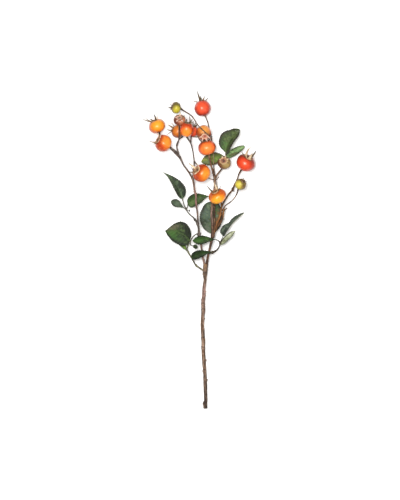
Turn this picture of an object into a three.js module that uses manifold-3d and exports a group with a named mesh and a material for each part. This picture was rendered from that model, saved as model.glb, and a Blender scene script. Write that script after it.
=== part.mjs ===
// A cut rose hip sprig, laid down on a surface: fifteen hips with their sepals, fourteen leaflets
// and the stems that carry them.
// Millimetres. X runs across the sprig, Y along it from the cut end to the top,
// Z up from the surface that it lies on.
import * as THREE from "three";
import { mergeVertices } from "three/addons/utils/BufferGeometryUtils.js";
import Module from "manifold-3d";

const wasm = await Module();
wasm.setup();

// Driving dimensions
const gap = 0.3; // between two pieces that meet
const coreRadius = 0.2; // a stem is extruded this thin, then swelled to its own radius
const caneSides = 7;
const stalkSides = 5;
const ringSpacing = 8; // between the sections along a stem
const knotRings = 3;
const knotFlatness = 0.75;
const thornSides = 4;
const hipSides = 12;
const calyxSides = 6;
const crownHeight = 1.3; // the dry ring that the sepals stand on
const sepalFoot = 0.72; // how far out on the crown a sepal stands
const sepalShare = 0.24; // a sepal's width at its foot, of the hip's radius
const sepalThickness = 0.9;
const sepalSteps = 2;
const sepalBow = 0.12; // of its length
const sepalTaper = 1.4; // the power that its width falls by
const sepalTip = 0.2; // of its width at the foot
const sepalThinnest = 0.5; // of its thickness at the foot
const leafThickness = 0.8;
const leafSteps = 8;
const leafEdge = 0.5; // half width kept at the tip and the foot of a leaflet
const twistPivot = 0.3; // the share of a leaflet's length that its twist turns about
const curlStart = 0.7; // the share of its length that its tip curls from
const waistPlace = 0.46; // where a leaflet that has a waist is drawn in, as a share of its length
const waistReach = 0.16;
const weldDistance = 0.0001;

// Finishes
const hipRoughness = 0.3;
const calyxRoughness = 0.8;
const calyxColour = 0x8f7a5c;
const woodRoughness = 0.85;
const leafRoughness = 0.6;

// Half a hip's outline, from the stalk's dimple to the flat top that its crown stands on:
// radius and height, as shares of the hip's own
const hipOutline = [
  [0, -0.92],
  [0.26, -0.97],
  [0.64, -0.8],
  [0.91, -0.42],
  [1, 0.04],
  [0.92, 0.5],
  [0.7, 0.85],
  [0.44, 1],
  [0, 1],
];

// Half the outline of a calyx's dry ring, as shares of its own radius and height
const crownOutline = [
  [0, 0],
  [1, 0],
  [0.9, 1],
  [0.5, 1.3],
  [0, 1],
];

// Each hip: its centre, half width, half length, the way its crown looks, its crown's radius as a share
// of its own, its colour, and where its sepals end
const hips = [
  {
    name: "green_top",
    centre: [-41, 424.3, 13],
    radius: 8.3,
    half: 6.3,
    axis: [-1, 0.05, 0.12],
    crown: 0.36,
    colour: 0xc9b548,
    sepals: [
      [-51.4, 429.8, 15], [-53.2, 424.6, 12], [-51.8, 420.6, 14], [-45, 435.8, 18],
      [-51, 424, 19],
    ],
  },
  {
    name: "red_top",
    centre: [-3.8, 422.6, 11.7],
    radius: 11.6,
    half: 10.8,
    axis: [-0.15, 0.94, -0.26],
    crown: 0.36,
    colour: 0xd8482a,
    sepals: [[-11.8, 448.2, 14], [-1.4, 440.6, 20], [-19, 434.4, 10], [4, 439, 6], [-7, 441, 3]],
  },
  {
    name: "yellow_left",
    centre: [-68, 397.6, 12.1],
    radius: 11.8,
    half: 9.2,
    axis: [-0.4, 0.9, 0.16],
    crown: 0.36,
    colour: 0xf09a2c,
    sepals: [
      [-86.3, 411, 16], [-88.6, 408.2, 9], [-72.8, 415.4, 20], [-69.2, 417.2, 15],
      [-78, 409, 4],
    ],
  },
  {
    name: "orange_left",
    centre: [-58.7, 373.6, 20.5],
    radius: 12.2,
    half: 10.4,
    axis: [-0.8, 0.42, 0.42],
    crown: 0.38,
    colour: 0xe8682c,
    sepals: [
      [-79.6, 377, 26], [-73.9, 372.4, 33], [-71.2, 391.4, 30], [-67, 391, 35],
      [-62.8, 388.6, 31],
    ],
  },
  {
    name: "brown_back",
    centre: [-36.4, 406.2, 27],
    radius: 8.6,
    half: 5.8,
    axis: [-0.05, 0.5, 0.86],
    crown: 0.5,
    colour: 0x9c5b3c,
    sepals: [
      [-35.4, 418, 33], [-29.6, 412.8, 34.4], [-43.6, 411.6, 34.6], [-41.6, 403.4, 36],
      [-31, 403.6, 36.4],
    ],
  },
  {
    name: "amber_back",
    centre: [-38.1, 390.7, 10],
    radius: 9.7,
    half: 8.2,
    axis: [-0.86, 0.48, -0.05],
    crown: 0.36,
    colour: 0xd57a30,
    sepals: [
      [-53.6, 400.6, 14], [-48.8, 403.4, 9], [-54.8, 386.4, 11], [-55, 394, 5.5],
      [-52, 392, 18],
    ],
  },
  {
    name: "red_middle",
    centre: [-26.6, 392.4, 28.6],
    radius: 9.4,
    half: 10,
    axis: [0.12, 0.95, 0.28],
    crown: 0.4,
    colour: 0xf0602a,
    sepals: [
      [-22.8, 412.4, 35], [-26.4, 408, 37], [-16.4, 404.8, 34], [-18.6, 408, 30],
      [-30, 408, 30],
    ],
  },
  {
    name: "red_hidden",
    centre: [-18.3, 390.4, 8.6],
    radius: 8,
    half: 7.2,
    axis: [0.3, 0.95, 0],
    crown: 0.36,
    colour: 0xd8432a,
    sepals: [[-17, 404.5, 13], [-20.5, 404, 6], [-11.5, 402, 6], [-14, 403.5, 3], [-12.6, 400.6, 14]],
  },
  {
    name: "orange_bowed",
    centre: [-2.8, 389.3, 25.4],
    radius: 10.6,
    half: 9.6,
    axis: [0.18, -0.6, 0.78],
    crown: 0.42,
    colour: 0xe07436,
    sepals: [
      [-18.6, 382.6, 29], [7.6, 379.6, 36], [2.6, 375.6, 36.4], [-4, 375.4, 36],
      [-10, 380.6, 35.6],
    ],
  },
  {
    name: "orange_centre",
    centre: [2.4, 366.9, 20],
    radius: 12.7,
    half: 10,
    axis: [-0.26, 0.95, 0.12],
    crown: 0.34,
    colour: 0xf0702c,
    sepals: [[9.9, 383.9, 22], [-9.6, 379.5, 27], [-10, 381, 18], [-4, 383.4, 13.6], [4.4, 385, 14.6]],
  },
  {
    name: "orange_low",
    centre: [-5, 331.4, 24.6],
    radius: 12.8,
    half: 10.6,
    axis: [-0.62, 0.45, 0.62],
    crown: 0.38,
    colour: 0xf39038,
    sepals: [
      [-24.2, 346, 31], [-23, 333.4, 34], [-17.6, 329.4, 38.4], [-14, 346, 38], [-20.4, 340.6, 38.6],
    ],
  },
  {
    name: "amber_front",
    centre: [17, 298.6, 30],
    radius: 12.7,
    half: 8.8,
    axis: [-0.38, 0.76, 0.5],
    crown: 0.36,
    colour: 0xf4a632,
    sepals: [[1.6, 314.8, 36], [10.4, 320.4, 39], [15.4, 320.4, 35], [21.9, 313.9, 40], [5, 311.5, 43.6]],
  },
  {
    name: "red_right",
    centre: [56.4, 345.9, 13.2],
    radius: 13.6,
    half: 10.4,
    axis: [0.42, 0.74, 0.5],
    crown: 0.4,
    colour: 0xe2482a,
    sepals: [[65, 370.2, 26], [71.6, 364.1, 20], [50.9, 362, 27], [60.4, 366.4, 33], [66, 360, 31]],
  },
  {
    name: "olive_right",
    centre: [26.5, 346.2, 14.6],
    radius: 9.4,
    half: 7.4,
    axis: [-0.1, 0.42, 0.9],
    crown: 0.58,
    colour: 0x9c6b3e,
    sepals: [
      [19, 352.6, 24], [23, 356.8, 23], [28.6, 357.4, 22.6], [33.4, 353, 23.4],
      [32.6, 345.8, 25],
    ],
  },
  {
    name: "green_right",
    centre: [49.2, 315.6, 23],
    radius: 7.9,
    half: 7.3,
    axis: [0.48, 0.65, 0.58],
    crown: 0.4,
    colour: 0xb9a44a,
    sepals: [
      [55.8, 323, 28.4], [52, 325, 30.4], [57.8, 320.4, 30], [54.4, 325.2, 26.8], [55.4, 320.2, 32.4],
    ],
  },
];

// Each woody piece: the routes of its stems as x, y, z and radius, its knots as a point and a radius,
// and its prickles as a foot, a tip and a foot radius
const stems = [
  {
    name: "cane",
    colour: 0x7d624b,
    sides: caneSides,
    routes: [
      [
        [0, 0, 3, 3], [-0.4, 6, 3, 3.1], [0.3, 11, 2.8, 2.6], [0, 23, 3, 2.6], [-0.4, 38, 3.3, 2.8],
        [-1.1, 53, 3.6, 2.6], [-2.4, 69, 4.1, 2.8], [-3.1, 84, 4.7, 2.6], [-3.1, 96, 5.2, 2.8],
        [-4.4, 116, 6.3, 2.5], [-3.9, 130, 7.2, 2.6], [-3.2, 139, 7.8, 2.9], [-3.5, 148, 8.5, 2.8],
        [-2.5, 159, 9.3, 2.6], [-2.1, 170, 10.2, 2.4], [-0.7, 181, 11.1, 2.3], [-0.7, 190, 11.9, 3.2],
        [-0.3, 196, 12.4, 3.5], [0, 204, 13, 3.4],
      ],
    ],
    knots: [
      [[-0.9, 6.5, 3.1], 3.1], [[-1.4, 53, 3.8], 2.9], [[-3.2, 85, 4.9], 2.9], [[-3.3, 99, 5.4], 2.9],
      [[-3.2, 139, 7.8], 3.1], [[-3.4, 147, 8.4], 3], [[-2.2, 160, 9.4], 2.8], [[-0.8, 190, 11.9], 3.4],
    ],
    thorns: [
      [[1, 40, 3.3], [4.6, 40.6, 3.6], 1.1], [[0.4, 68, 4], [2.6, 69.2, 5], 1.1],
      [[-4.5, 87, 5], [-7.3, 87.4, 5.6], 1.1], [[-4.6, 100, 5.5], [-7.2, 100.6, 6.2], 1.1],
      [[-2.8, 126, 7], [0.6, 126.8, 7.4], 1.1], [[-4.8, 153.4, 8.8], [-7.2, 153.8, 9.4], 1.1],
      [[-0.8, 164.6, 9.8], [1.9, 165.4, 10.6], 1.1], [[-2, 112, 8], [-2.4, 113, 10.4], 1],
    ],
  },
  {
    name: "branch_left",
    colour: 0x85705f,
    sides: stalkSides,
    routes: [
      [
        [-1.2, 199, 12.9, 1.9], [-2.4, 208, 13.6, 1.7], [-4.6, 216, 14.6, 1.5], [-5.4, 224, 15.3, 1.5],
        [-6.3, 231, 16, 1.5], [-8.8, 243, 17.3, 2.1], [-9.2, 248, 17.7, 2], [-9.9, 256, 18, 1.6],
        [-11, 261, 18, 1.9], [-10.9, 268, 17.9, 1.4], [-11.8, 279, 17.6, 1.4], [-13.3, 289, 17, 1.4],
        [-13.5, 300, 16, 1.4], [-15.2, 307, 15.2, 1.5], [-17.5, 321, 13.5, 1.5], [-20.4, 328, 13, 1.4],
        [-25.5, 336, 12.5, 1.2], [-31.2, 344, 12.5, 1.2], [-36, 354, 13, 1.6], [-42.7, 363, 16, 1.3],
        [-47, 366.2, 17.2, 1.3], [-51.6, 369.9, 17.3, 1.5],
      ],
      [
        [-35.6, 353, 13, 1.3], [-45, 362.4, 8.4, 1], [-54, 372, 5.4, 1], [-61, 379.6, 5.6, 1],
        [-64.4, 385, 7.6, 1.1], [-65, 389.8, 10.4, 1.3],
      ],
      [
        [-35.8, 353.4, 13, 1.3], [-39, 362.8, 13, 1.2], [-40.6, 371, 12, 1.1], [-38.6, 377.4, 10.8, 0.9],
        [-34.8, 381.6, 10.4, 0.9], [-31.8, 384.4, 10.2, 0.9], [-31.8, 387.2, 10.3, 1.2],
      ],
      [
        [-40.6, 370.6, 12, 1.1], [-38.4, 376, 15.4, 1], [-37.3, 381.6, 19.6, 0.9],
        [-37.2, 387, 21.6, 0.9], [-37.2, 393, 21.8, 0.9], [-37, 399, 22, 1], [-36.4, 402.8, 23.4, 1.3],
      ],
      [
        [-17.2, 321, 13.4, 1.3], [-17.4, 333, 13, 1.1], [-15.8, 345, 15.4, 1.1], [-16.9, 356.4, 18.4, 1],
        [-18.2, 365, 21, 1], [-20.4, 373, 23.6, 1.1], [-24, 379.4, 25.4, 1.3], [-27.4, 384.6, 26.4, 1.5],
      ],
      [[-15.6, 348, 16, 1], [-11.4, 343.6, 15, 0.8], [-8.4, 340.6, 13, 0.6]],
      [[-17.6, 362, 20, 0.9], [-19.6, 370, 15.4, 0.9], [-20.6, 377, 10.4, 0.9], [-20.1, 384.8, 8.6, 1.1]],
    ],
    knots: [
      [[-9.3, 245.6, 17.5], 2.7], [[-11, 260.6, 18], 2.3], [[-15.2, 306, 15.3], 1.9],
      [[-35.8, 354, 13], 1.9], [[-40.5, 371.4, 12], 1.5], [[-15.7, 348, 16], 1.5],
    ],
    thorns: [[[-8.2, 246, 18], [-4.6, 248.2, 18.6], 0.9], [[-13.6, 303, 16], [-11, 304.4, 16.8], 0.8]],
  },
  {
    name: "branch_middle",
    colour: 0x7f6450,
    sides: stalkSides,
    routes: [
      [
        [1.6, 199, 12.9, 2], [2.4, 208, 13.6, 1.9], [3.8, 216, 14.4, 1.8], [6.2, 226, 15.5, 1.8],
        [8.2, 235, 16.5, 2], [10, 244, 17.4, 2.4], [9.6, 258, 18.6, 1.7], [8.7, 271, 18.8, 1.7],
        [9.2, 285, 17.4, 1.6], [11.1, 300, 15.4, 1.5], [13.2, 319, 14.6, 1.6], [12.6, 325, 14.8, 1.6],
        [10.6, 334, 15.4, 1.4], [7.6, 344, 16.2, 1.2], [6.8, 350, 16.8, 1.3], [4.7, 358.8, 18.8, 1.6],
      ],
      [
        [11, 243, 17, 1.7], [12.4, 256, 14.8, 1.4], [12.4, 272, 13.6, 1.4], [12.8, 289, 13.2, 1.2],
        [13.3, 304, 13.4, 1.2], [13.4, 320, 14.4, 1.3], [12.8, 329, 13.6, 1.2], [12, 337, 11.4, 1],
        [11.4, 347, 8.6, 0.7], [11.2, 357, 7, 0.7], [10.4, 366, 5.6, 0.7], [9.4, 374, 5.2, 0.8],
        [8.2, 383, 6, 0.8], [6.2, 391.4, 7.4, 0.8], [4.6, 398, 8.6, 0.8], [2.8, 405, 9.8, 0.9],
        [0.4, 410.6, 12, 1], [-1.8, 414.8, 13.2, 1.2],
      ],
      [
        [13, 324, 14.6, 1.3], [18.4, 332.6, 13.2, 1.2], [22.6, 337.6, 11, 1.1],
        [25.8, 341.2, 8.8, 1.1], [27, 343.6, 9, 1.1],
      ],
      [[12.8, 322.6, 14.8, 1], [8.4, 323.4, 15.6, 0.7], [4.4, 325.2, 16.8, 0.8], [0.6, 327.4, 19.2, 1.1]],
      [
        [9.7, 371.6, 5.3, 0.9], [9.8, 375, 12, 0.9], [8.8, 378.4, 22, 0.8], [6.9, 381.8, 31, 0.8],
        [3.6, 385, 36.6, 0.8], [-1, 389.4, 38.4, 0.8], [-7.2, 395.2, 38, 0.8], [-11.6, 400.4, 33, 0.8],
        [-15.6, 407.2, 26, 0.8], [-20, 412.8, 20, 0.9], [-26, 417, 16, 0.9], [-31.4, 420.4, 13.4, 1.1],
        [-36, 424, 12.6, 1.4],
      ],
      [
        [8.4, 386.4, 6.4, 0.8], [4.4, 391.6, 7, 0.8], [-0.4, 395.8, 9.4, 0.8], [-3.4, 398, 13, 0.8],
        [-4.2, 398, 16.8, 1], [-4, 395.6, 20.6, 1.2],
      ],
      [[13.6, 321, 14.6, 0.8], [17, 324.6, 13, 0.6], [19.4, 327.2, 11.8, 0.5]],
      [[9.8, 243, 16.6, 1.2], [8.8, 245.4, 14.6, 1], [8.1, 247.4, 13.3, 0.9]],
    ],
    knots: [[[10.2, 243.6, 17.3], 3], [[13, 322.4, 14.7], 2.1], [[9.7, 371.8, 5.4], 1.4]],
    thorns: [
      [[7.6, 229, 16], [4.8, 230.6, 16.8], 0.9], [[9.8, 253, 18.6], [7, 254.6, 19.6], 0.9],
      [[11, 331, 15.4], [8.4, 332.4, 15.2], 0.8],
    ],
  },
  {
    name: "branch_right",
    colour: 0x8b6a4d,
    sides: stalkSides,
    routes: [
      [
        [11, 244, 17.4, 1.6], [13.8, 251.4, 17.2, 1.6], [17.4, 257.6, 16.8, 1.5], [21.9, 263.6, 16.2, 1.5],
        [24.2, 268.8, 15.8, 1.4], [24.8, 274, 15.6, 1.4], [25.4, 279.6, 15.6, 1.3],
        [26.4, 284.2, 15.8, 1], [29.2, 287, 16.4, 0.8], [33.6, 290, 17, 0.8], [38.8, 294.6, 17.6, 0.8],
        [43, 300.6, 18, 0.9], [45.4, 306.6, 18.4, 1.2], [46.4, 311.6, 19.6, 1.3],
      ],
      [
        [12.8, 249, 17.8, 1.4], [13.9, 255, 18.6, 1.5], [16.2, 261.6, 19, 1.5], [19, 268, 18.8, 1.4],
        [20.9, 273.5, 18, 1.4], [21.9, 279.6, 16.8, 1.3], [23.8, 286.6, 15, 1.2], [27, 293.4, 13.4, 1.2],
        [31.4, 300.2, 12.6, 1.1], [37.6, 308.4, 11.6, 1.4], [41.3, 316, 11, 1.4], [44.8, 323.6, 10.4, 1.1],
        [47, 330.6, 9.4, 1.1], [49.8, 335.6, 8.2, 1.3], [52.7, 339.4, 8.8, 1.5],
      ],
      [
        [22, 279.8, 16.8, 1.2], [22.6, 284, 17.8, 1.1], [22.4, 288, 20, 1.1], [21.6, 291, 22.6, 1.1],
        [20.1, 293, 26, 1.4],
      ],
      [[25.4, 279, 15.7, 0.9], [28, 280.8, 15.8, 0.7], [30.6, 282.6, 15.6, 0.5]],
      [[21.2, 275, 17.8, 0.9], [23.2, 272.6, 16.8, 0.8], [24.6, 270.8, 16, 0.9]],
    ],
    knots: [
      [[15, 253.6, 17.6], 2.1], [[25.3, 279.2, 15.7], 1.9], [[38.4, 309.6, 11.5], 2],
      [[16.4, 262, 19], 1.9],
    ],
    thorns: [[[38.6, 307, 11.6], [41.4, 306, 11.4], 0.9], [[24, 268, 15.8], [27, 266.8, 15.6], 0.9]],
  },
  {
    name: "leaf_stalk_cane",
    colour: 0x6e6a52,
    sides: stalkSides,
    routes: [
      [
        [-1.6, 193.4, 12.4, 1.3], [-8.6, 198.6, 11.4, 1.2], [-13.2, 201.8, 10.6, 1.1], [-16.6, 207, 10, 1],
        [-20.6, 214, 9.6, 0.9], [-24.3, 220.4, 9.6, 1.1], [-26, 225, 10, 1], [-24.6, 230.6, 10.8, 0.9],
        [-21.9, 237.5, 11.8, 0.9],
      ],
      [[-18.4, 210.2, 9.8, 0.8], [-18.8, 211.8, 11, 0.7], [-19.5, 213.2, 12.1, 0.7]],
      [[-25, 221.8, 9.6, 0.8], [-27, 223, 9, 0.7]],
    ],
    knots: [[[-12.8, 201.6, 10.7], 1.6], [[-24.4, 220.8, 9.6], 1.5]],
    thorns: [],
  },
  {
    name: "leaf_stalk_knot",
    colour: 0x5d5747,
    sides: stalkSides,
    routes: [
      [
        [-9.4, 246.6, 17.6, 1], [-13.8, 245.6, 17.4, 0.9], [-19.2, 239.6, 16.4, 0.8],
        [-21.4, 234.6, 15.4, 0.8], [-21, 231, 14.8, 0.8], [-17.4, 229.3, 14.1, 0.5],
      ],
    ],
    knots: [],
    thorns: [],
  },
  {
    name: "leaf_stalk_left",
    colour: 0x5d5747,
    sides: stalkSides,
    routes: [
      [
        [-11, 260.4, 18, 1.3], [-14.8, 266.2, 17, 1.4], [-17.6, 269.8, 16.2, 1], [-21.9, 273.4, 15, 0.9],
        [-25.5, 277.8, 13.8, 0.9], [-27.4, 281.4, 13.2, 1], [-29.8, 286.4, 12.4, 0.8],
        [-32.6, 295.8, 11, 0.8],
      ],
      [[-26.6, 280, 13.4, 0.8], [-29, 282, 13, 0.8]],
      [[-27, 280.6, 13.2, 0.8], [-25.6, 284, 12.6, 0.7], [-24.9, 288.4, 11.8, 0.7]],
      [[-26.4, 279.4, 13.6, 0.5], [-24.4, 279.4, 14, 0.4], [-22.8, 279, 14.2, 0.4]],
    ],
    knots: [[[-15, 266.4, 17], 1.7], [[-27.2, 281, 13.3], 1.4], [[-22.6, 279, 14.2], 1.1]],
    thorns: [],
  },
  {
    name: "leaf_stalk_low",
    colour: 0x55483a,
    sides: stalkSides,
    routes: [
      [
        [5.6, 219.4, 15, 1.6], [9.6, 220.2, 14.8, 1.7], [13.6, 221.8, 14.4, 1.4], [17.6, 225.4, 14, 1.1],
        [19.8, 229.6, 13.8, 1], [20.8, 233, 13.6, 1.1], [22.8, 238.6, 13, 0.8], [24.4, 243, 12.8, 0.6],
      ],
      [[20.4, 232, 13.8, 1], [19.8, 235, 16, 1.1], [17.6, 237, 18.4, 0.9], [14.4, 238.2, 19.6, 0.6]],
      [[12, 221.2, 14.8, 0.9], [13.8, 223.8, 16.4, 0.5]],
    ],
    knots: [[[9.8, 220.3, 14.8], 2], [[20.6, 232.6, 13.7], 1.5]],
    thorns: [],
  },
  {
    name: "leaf_stalk_back",
    colour: 0x66583f,
    sides: stalkSides,
    routes: [
      [
        [13.4, 317, 12.4, 1], [14.6, 325.6, 8.6, 0.9], [19.6, 333.5, 4.6, 0.8], [24.8, 340.5, 3.2, 0.8],
        [27.4, 348, 3.2, 0.8], [28.4, 355, 3.6, 0.8], [28.6, 361, 4.8, 0.8],
      ],
      [[28.2, 354, 3.6, 0.7], [30.6, 356, 4.2, 0.7]],
      [[28.2, 354.6, 3.6, 0.7], [26, 356.4, 3.2, 0.7]],
    ],
    knots: [[[28.2, 354.2, 3.6], 1.2]],
    thorns: [],
  },
];

// Each leaflet: foot and tip of its midrib, full width, the way its face looks, how far the midrib bows
// to its left, its fold along the midrib and its twist from foot to tip in degrees, how far its middle
// arches up and its tip curls up, its fullest place as a share of its length, how sharp its foot and its
// tip are (1 is pointed, less is blunter), and how much its waist is drawn in, if it has one
const leaflets = [
  {
    name: "leaf_back_end",
    foot: [28.4, 361.2, 5],
    tip: [52, 391.4, 12],
    width: 31,
    face: [-0.5, 0.34, 0.8],
    bend: 6,
    fold: 28,
    twist: 0,
    arch: 2,
    curl: 7,
    fullest: 0.33,
    sharpness: [0.42, 0.5],
    colour: 0x4f5f36,
  },
  {
    name: "leaf_back_right",
    foot: [29.8, 354.8, 4.6],
    tip: [55, 370.2, 11],
    width: 12,
    face: [0.3, -0.36, 0.95],
    bend: 2.2,
    fold: 14,
    twist: 0,
    arch: 2,
    curl: 0,
    fullest: 0.42,
    sharpness: [0.4, 0.4],
    colour: 0x55643c,
  },
  {
    name: "leaf_back_left",
    foot: [25.2, 356.8, 3],
    tip: [-6, 348, 3.6],
    width: 18.5,
    face: [0, 0, 1],
    bend: 0,
    fold: 8,
    twist: 0,
    arch: 1.2,
    curl: 0.4,
    fullest: 0.5,
    sharpness: [0.7, 0.7],
    colour: 0x5e6a38,
  },
  {
    name: "leaf_left_end",
    foot: [-32.6, 296, 11],
    tip: [-60, 333.4, 6],
    width: 20,
    face: [0.44, 0.33, 0.84],
    bend: -4.5,
    fold: 26,
    twist: 0,
    arch: 1,
    curl: 1,
    fullest: 0.29,
    sharpness: [0.7, 1.15],
    colour: 0x35402a,
  },
  {
    name: "leaf_left_left",
    foot: [-28, 281.2, 13.2],
    tip: [-48.4, 293, 10],
    width: 11.6,
    face: [0, 0.1, 1],
    bend: -0.6,
    fold: 16,
    twist: 0,
    arch: 0.8,
    curl: 0,
    fullest: 0.68,
    sharpness: [1.2, 0.5],
    colour: 0x4c5842,
  },
  {
    name: "leaf_left_right",
    foot: [-25, 288.6, 11.8],
    tip: [5.4, 299.6, 10.4],
    width: 18.6,
    face: [0.05, -0.25, 1],
    bend: 2.6,
    fold: 14,
    twist: 20,
    arch: -1,
    curl: 2,
    fullest: 0.32,
    sharpness: [0.5, 1.2],
    colour: 0x46562f,
  },
  {
    name: "leaf_middle",
    foot: [8, 247.4, 13.2],
    tip: [10.4, 291.4, 9],
    width: 32.4,
    face: [0.08, 0, 1],
    bend: 1.4,
    fold: 5,
    twist: 0,
    arch: -0.8,
    curl: 0,
    fullest: 0.5,
    sharpness: [0.5, 0.3],
    colour: 0x5c6a4c,
  },
  {
    name: "leaf_cane_end",
    foot: [-21.8, 237.8, 11.8],
    tip: [-57, 250.2, 5],
    width: 32.5,
    face: [-0.1, 0.04, 1],
    bend: -5,
    fold: 8,
    twist: 0,
    arch: 2.4,
    curl: 0.5,
    fullest: 0.42,
    sharpness: [0.36, 0.95],
    colour: 0x44532f,
  },
  {
    name: "leaf_cane_left",
    foot: [-27.4, 223.4, 9],
    tip: [-41.4, 238.6, 3],
    width: 10,
    face: [0.5, 0.1, 0.8],
    bend: 0,
    fold: 34,
    twist: 0,
    arch: 0.5,
    curl: 0,
    fullest: 0.5,
    sharpness: [0.75, 0.75],
    colour: 0x4c5a38,
  },
  {
    name: "leaf_cane_right",
    foot: [-19.6, 213.4, 12.2],
    tip: [9.4, 220.8, 19.4],
    width: 12.5,
    face: [0.1, -0.25, 1],
    bend: 3,
    fold: 14,
    twist: 0,
    arch: 3.2,
    curl: 0,
    fullest: 0.3,
    sharpness: [0.6, 1],
    colour: 0x3c482c,
  },
  {
    name: "leaf_knot",
    foot: [-18.2, 229.6, 14.2],
    tip: [-10.8, 226.6, 12.6],
    width: 6.5,
    face: [0.3, 0.2, 1],
    bend: 0,
    fold: 24,
    twist: 0,
    arch: 0.4,
    curl: 0,
    fullest: 0.5,
    sharpness: [0.75, 0.75],
    colour: 0x2f3a28,
  },
  {
    name: "leaf_low_left",
    foot: [15.2, 238.2, 19.8],
    tip: [-18, 236.4, 20.4],
    width: 14,
    face: [0.05, -0.35, 0.95],
    bend: -2,
    fold: 12,
    twist: -14,
    arch: 1.6,
    curl: 0,
    fullest: 0.66,
    sharpness: [0.9, 0.6],
    colour: 0x4b6234,
  },
  {
    name: "leaf_low_top",
    foot: [24.6, 243.4, 13],
    tip: [55, 275.8, 16],
    width: 18,
    face: [-0.56, 0.52, 0.64],
    bend: 3.4,
    fold: 36,
    twist: -30,
    arch: 0.4,
    curl: 0.6,
    fullest: 0.22,
    sharpness: [0.5, 0.6],
    waist: 0.42,
    colour: 0x3d473a,
  },
  {
    name: "leaf_low_right",
    foot: [20.4, 231.4, 14],
    tip: [42.4, 251, 19],
    width: 13,
    face: [0.8, -0.45, -0.6],
    bend: -3.6,
    fold: 16,
    twist: 0,
    arch: 0.6,
    curl: 0,
    fullest: 0.42,
    sharpness: [0.55, 0.8],
    colour: 0x7b8065,
  },
];

// A solid from a closed geometry, and a geometry from a solid
function solidOf(geometry) {
  geometry.deleteAttribute("normal");
  geometry.deleteAttribute("uv");
  const merged = mergeVertices(geometry, weldDistance);
  const vertProperties = merged.attributes.position.array;
  const triVerts = new Uint32Array(merged.index.array);
  return new wasm.Manifold(new wasm.Mesh({ numProp: 3, vertProperties, triVerts }));
}

function geometryOf(solid) {
  const mesh = solid.getMesh();
  const geometry = new THREE.BufferGeometry();
  geometry.setAttribute("position", new THREE.BufferAttribute(mesh.vertProperties, 3));
  geometry.setIndex(new THREE.BufferAttribute(mesh.triVerts, 1));
  geometry.computeVertexNormals();
  return geometry;
}

function largestBody(solid) {
  return solid.decompose().sort((a, b) => b.volume() - a.volume())[0];
}

// Moves each vertex of a geometry to the point that a function gives for it
function reshape(geometry, pointFor) {
  const position = geometry.attributes.position;
  const point = new THREE.Vector3();
  for (let i = 0; i < position.count; i++) {
    point.copy(pointFor(point.fromBufferAttribute(position, i)));
    position.setXYZ(i, point.x, point.y, point.z);
  }
  return geometry;
}

// A solid of revolution that stands on a point and runs in a direction
function turned(profile, sides, from, direction) {
  const points = profile.map(([r, height]) => new THREE.Vector2(r, height));
  const geometry = new THREE.LatheGeometry(points, sides);
  const turn = new THREE.Quaternion().setFromUnitVectors(new THREE.Vector3(0, 1, 0), direction);
  geometry.applyQuaternion(turn).translate(from.x, from.y, from.z);
  return solidOf(geometry);
}

// The radius at a share of a route's length, between its own points
function radiusAlong(route, points, share) {
  const lengths = [0];
  for (let i = 1; i < points.length; i++) {
    lengths.push(lengths[i - 1] + points[i].distanceTo(points[i - 1]));
  }
  const distance = share * lengths[lengths.length - 1];
  const after = Math.max(1, lengths.findIndex((length) => length >= distance));
  const part = (distance - lengths[after - 1]) / (lengths[after] - lengths[after - 1]);
  return THREE.MathUtils.lerp(route[after - 1][3], route[after][3], part);
}

function stemTube(route, sides, grown) {
  const points = route.map(([x, y, z]) => new THREE.Vector3(x, y, z));
  const curve = new THREE.CatmullRomCurve3(points, false, "centripetal");
  const steps = Math.max(2, Math.round(curve.getLength() / ringSpacing));
  const corners = Array.from({ length: sides }, (_, i) => (i / sides) * 2 * Math.PI);
  const section = new THREE.Shape(
    corners.map((angle) => new THREE.Vector2(coreRadius * Math.cos(angle), coreRadius * Math.sin(angle))),
  );
  const tube = new THREE.ExtrudeGeometry(section, { steps, extrudePath: curve });
  const centres = curve.getSpacedPoints(steps);
  const radii = centres.map((_, i) => radiusAlong(route, points, i / steps) + grown);
  return solidOf(
    reshape(tube, (point) => {
      const distances = centres.map((centre) => centre.distanceToSquared(point));
      const nearest = distances.indexOf(Math.min(...distances));
      const centre = centres[nearest];
      return point.sub(centre).multiplyScalar(radii[nearest] / coreRadius).add(centre);
    }),
  );
}

function knot([x, y, z], radius, grown) {
  const bead = new THREE.SphereGeometry(radius + grown, stalkSides, knotRings);
  return solidOf(bead.scale(1, knotFlatness, 1).translate(x, y, z));
}

// A prickle is a cone on the stem's surface, with a point below it that sinks into the wood
function thorn(foot, tip, radius, grown) {
  const from = new THREE.Vector3(...foot);
  const along = new THREE.Vector3(...tip).sub(from);
  const profile = [[0, -radius], [radius + grown, 0], [0, along.length() + grown]];
  return turned(profile, thornSides, from, along.normalize());
}

function stemSolid(stem, grown) {
  const tubes = stem.routes.map((route) => stemTube(route, stem.sides, grown));
  const knots = stem.knots.map(([at, radius]) => knot(at, radius, grown));
  const thorns = stem.thorns.map(([foot, tip, radius]) => thorn(foot, tip, radius, grown));
  return [...tubes, ...knots, ...thorns].reduce((whole, piece) => whole.add(piece));
}

function hipSolid(hip, grown) {
  const profile = hipOutline.map(([r, height]) => [r * (hip.radius + grown), height * (hip.half + grown)]);
  const axis = new THREE.Vector3(...hip.axis).normalize();
  return turned(profile, hipSides, new THREE.Vector3(...hip.centre), axis);
}

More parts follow.
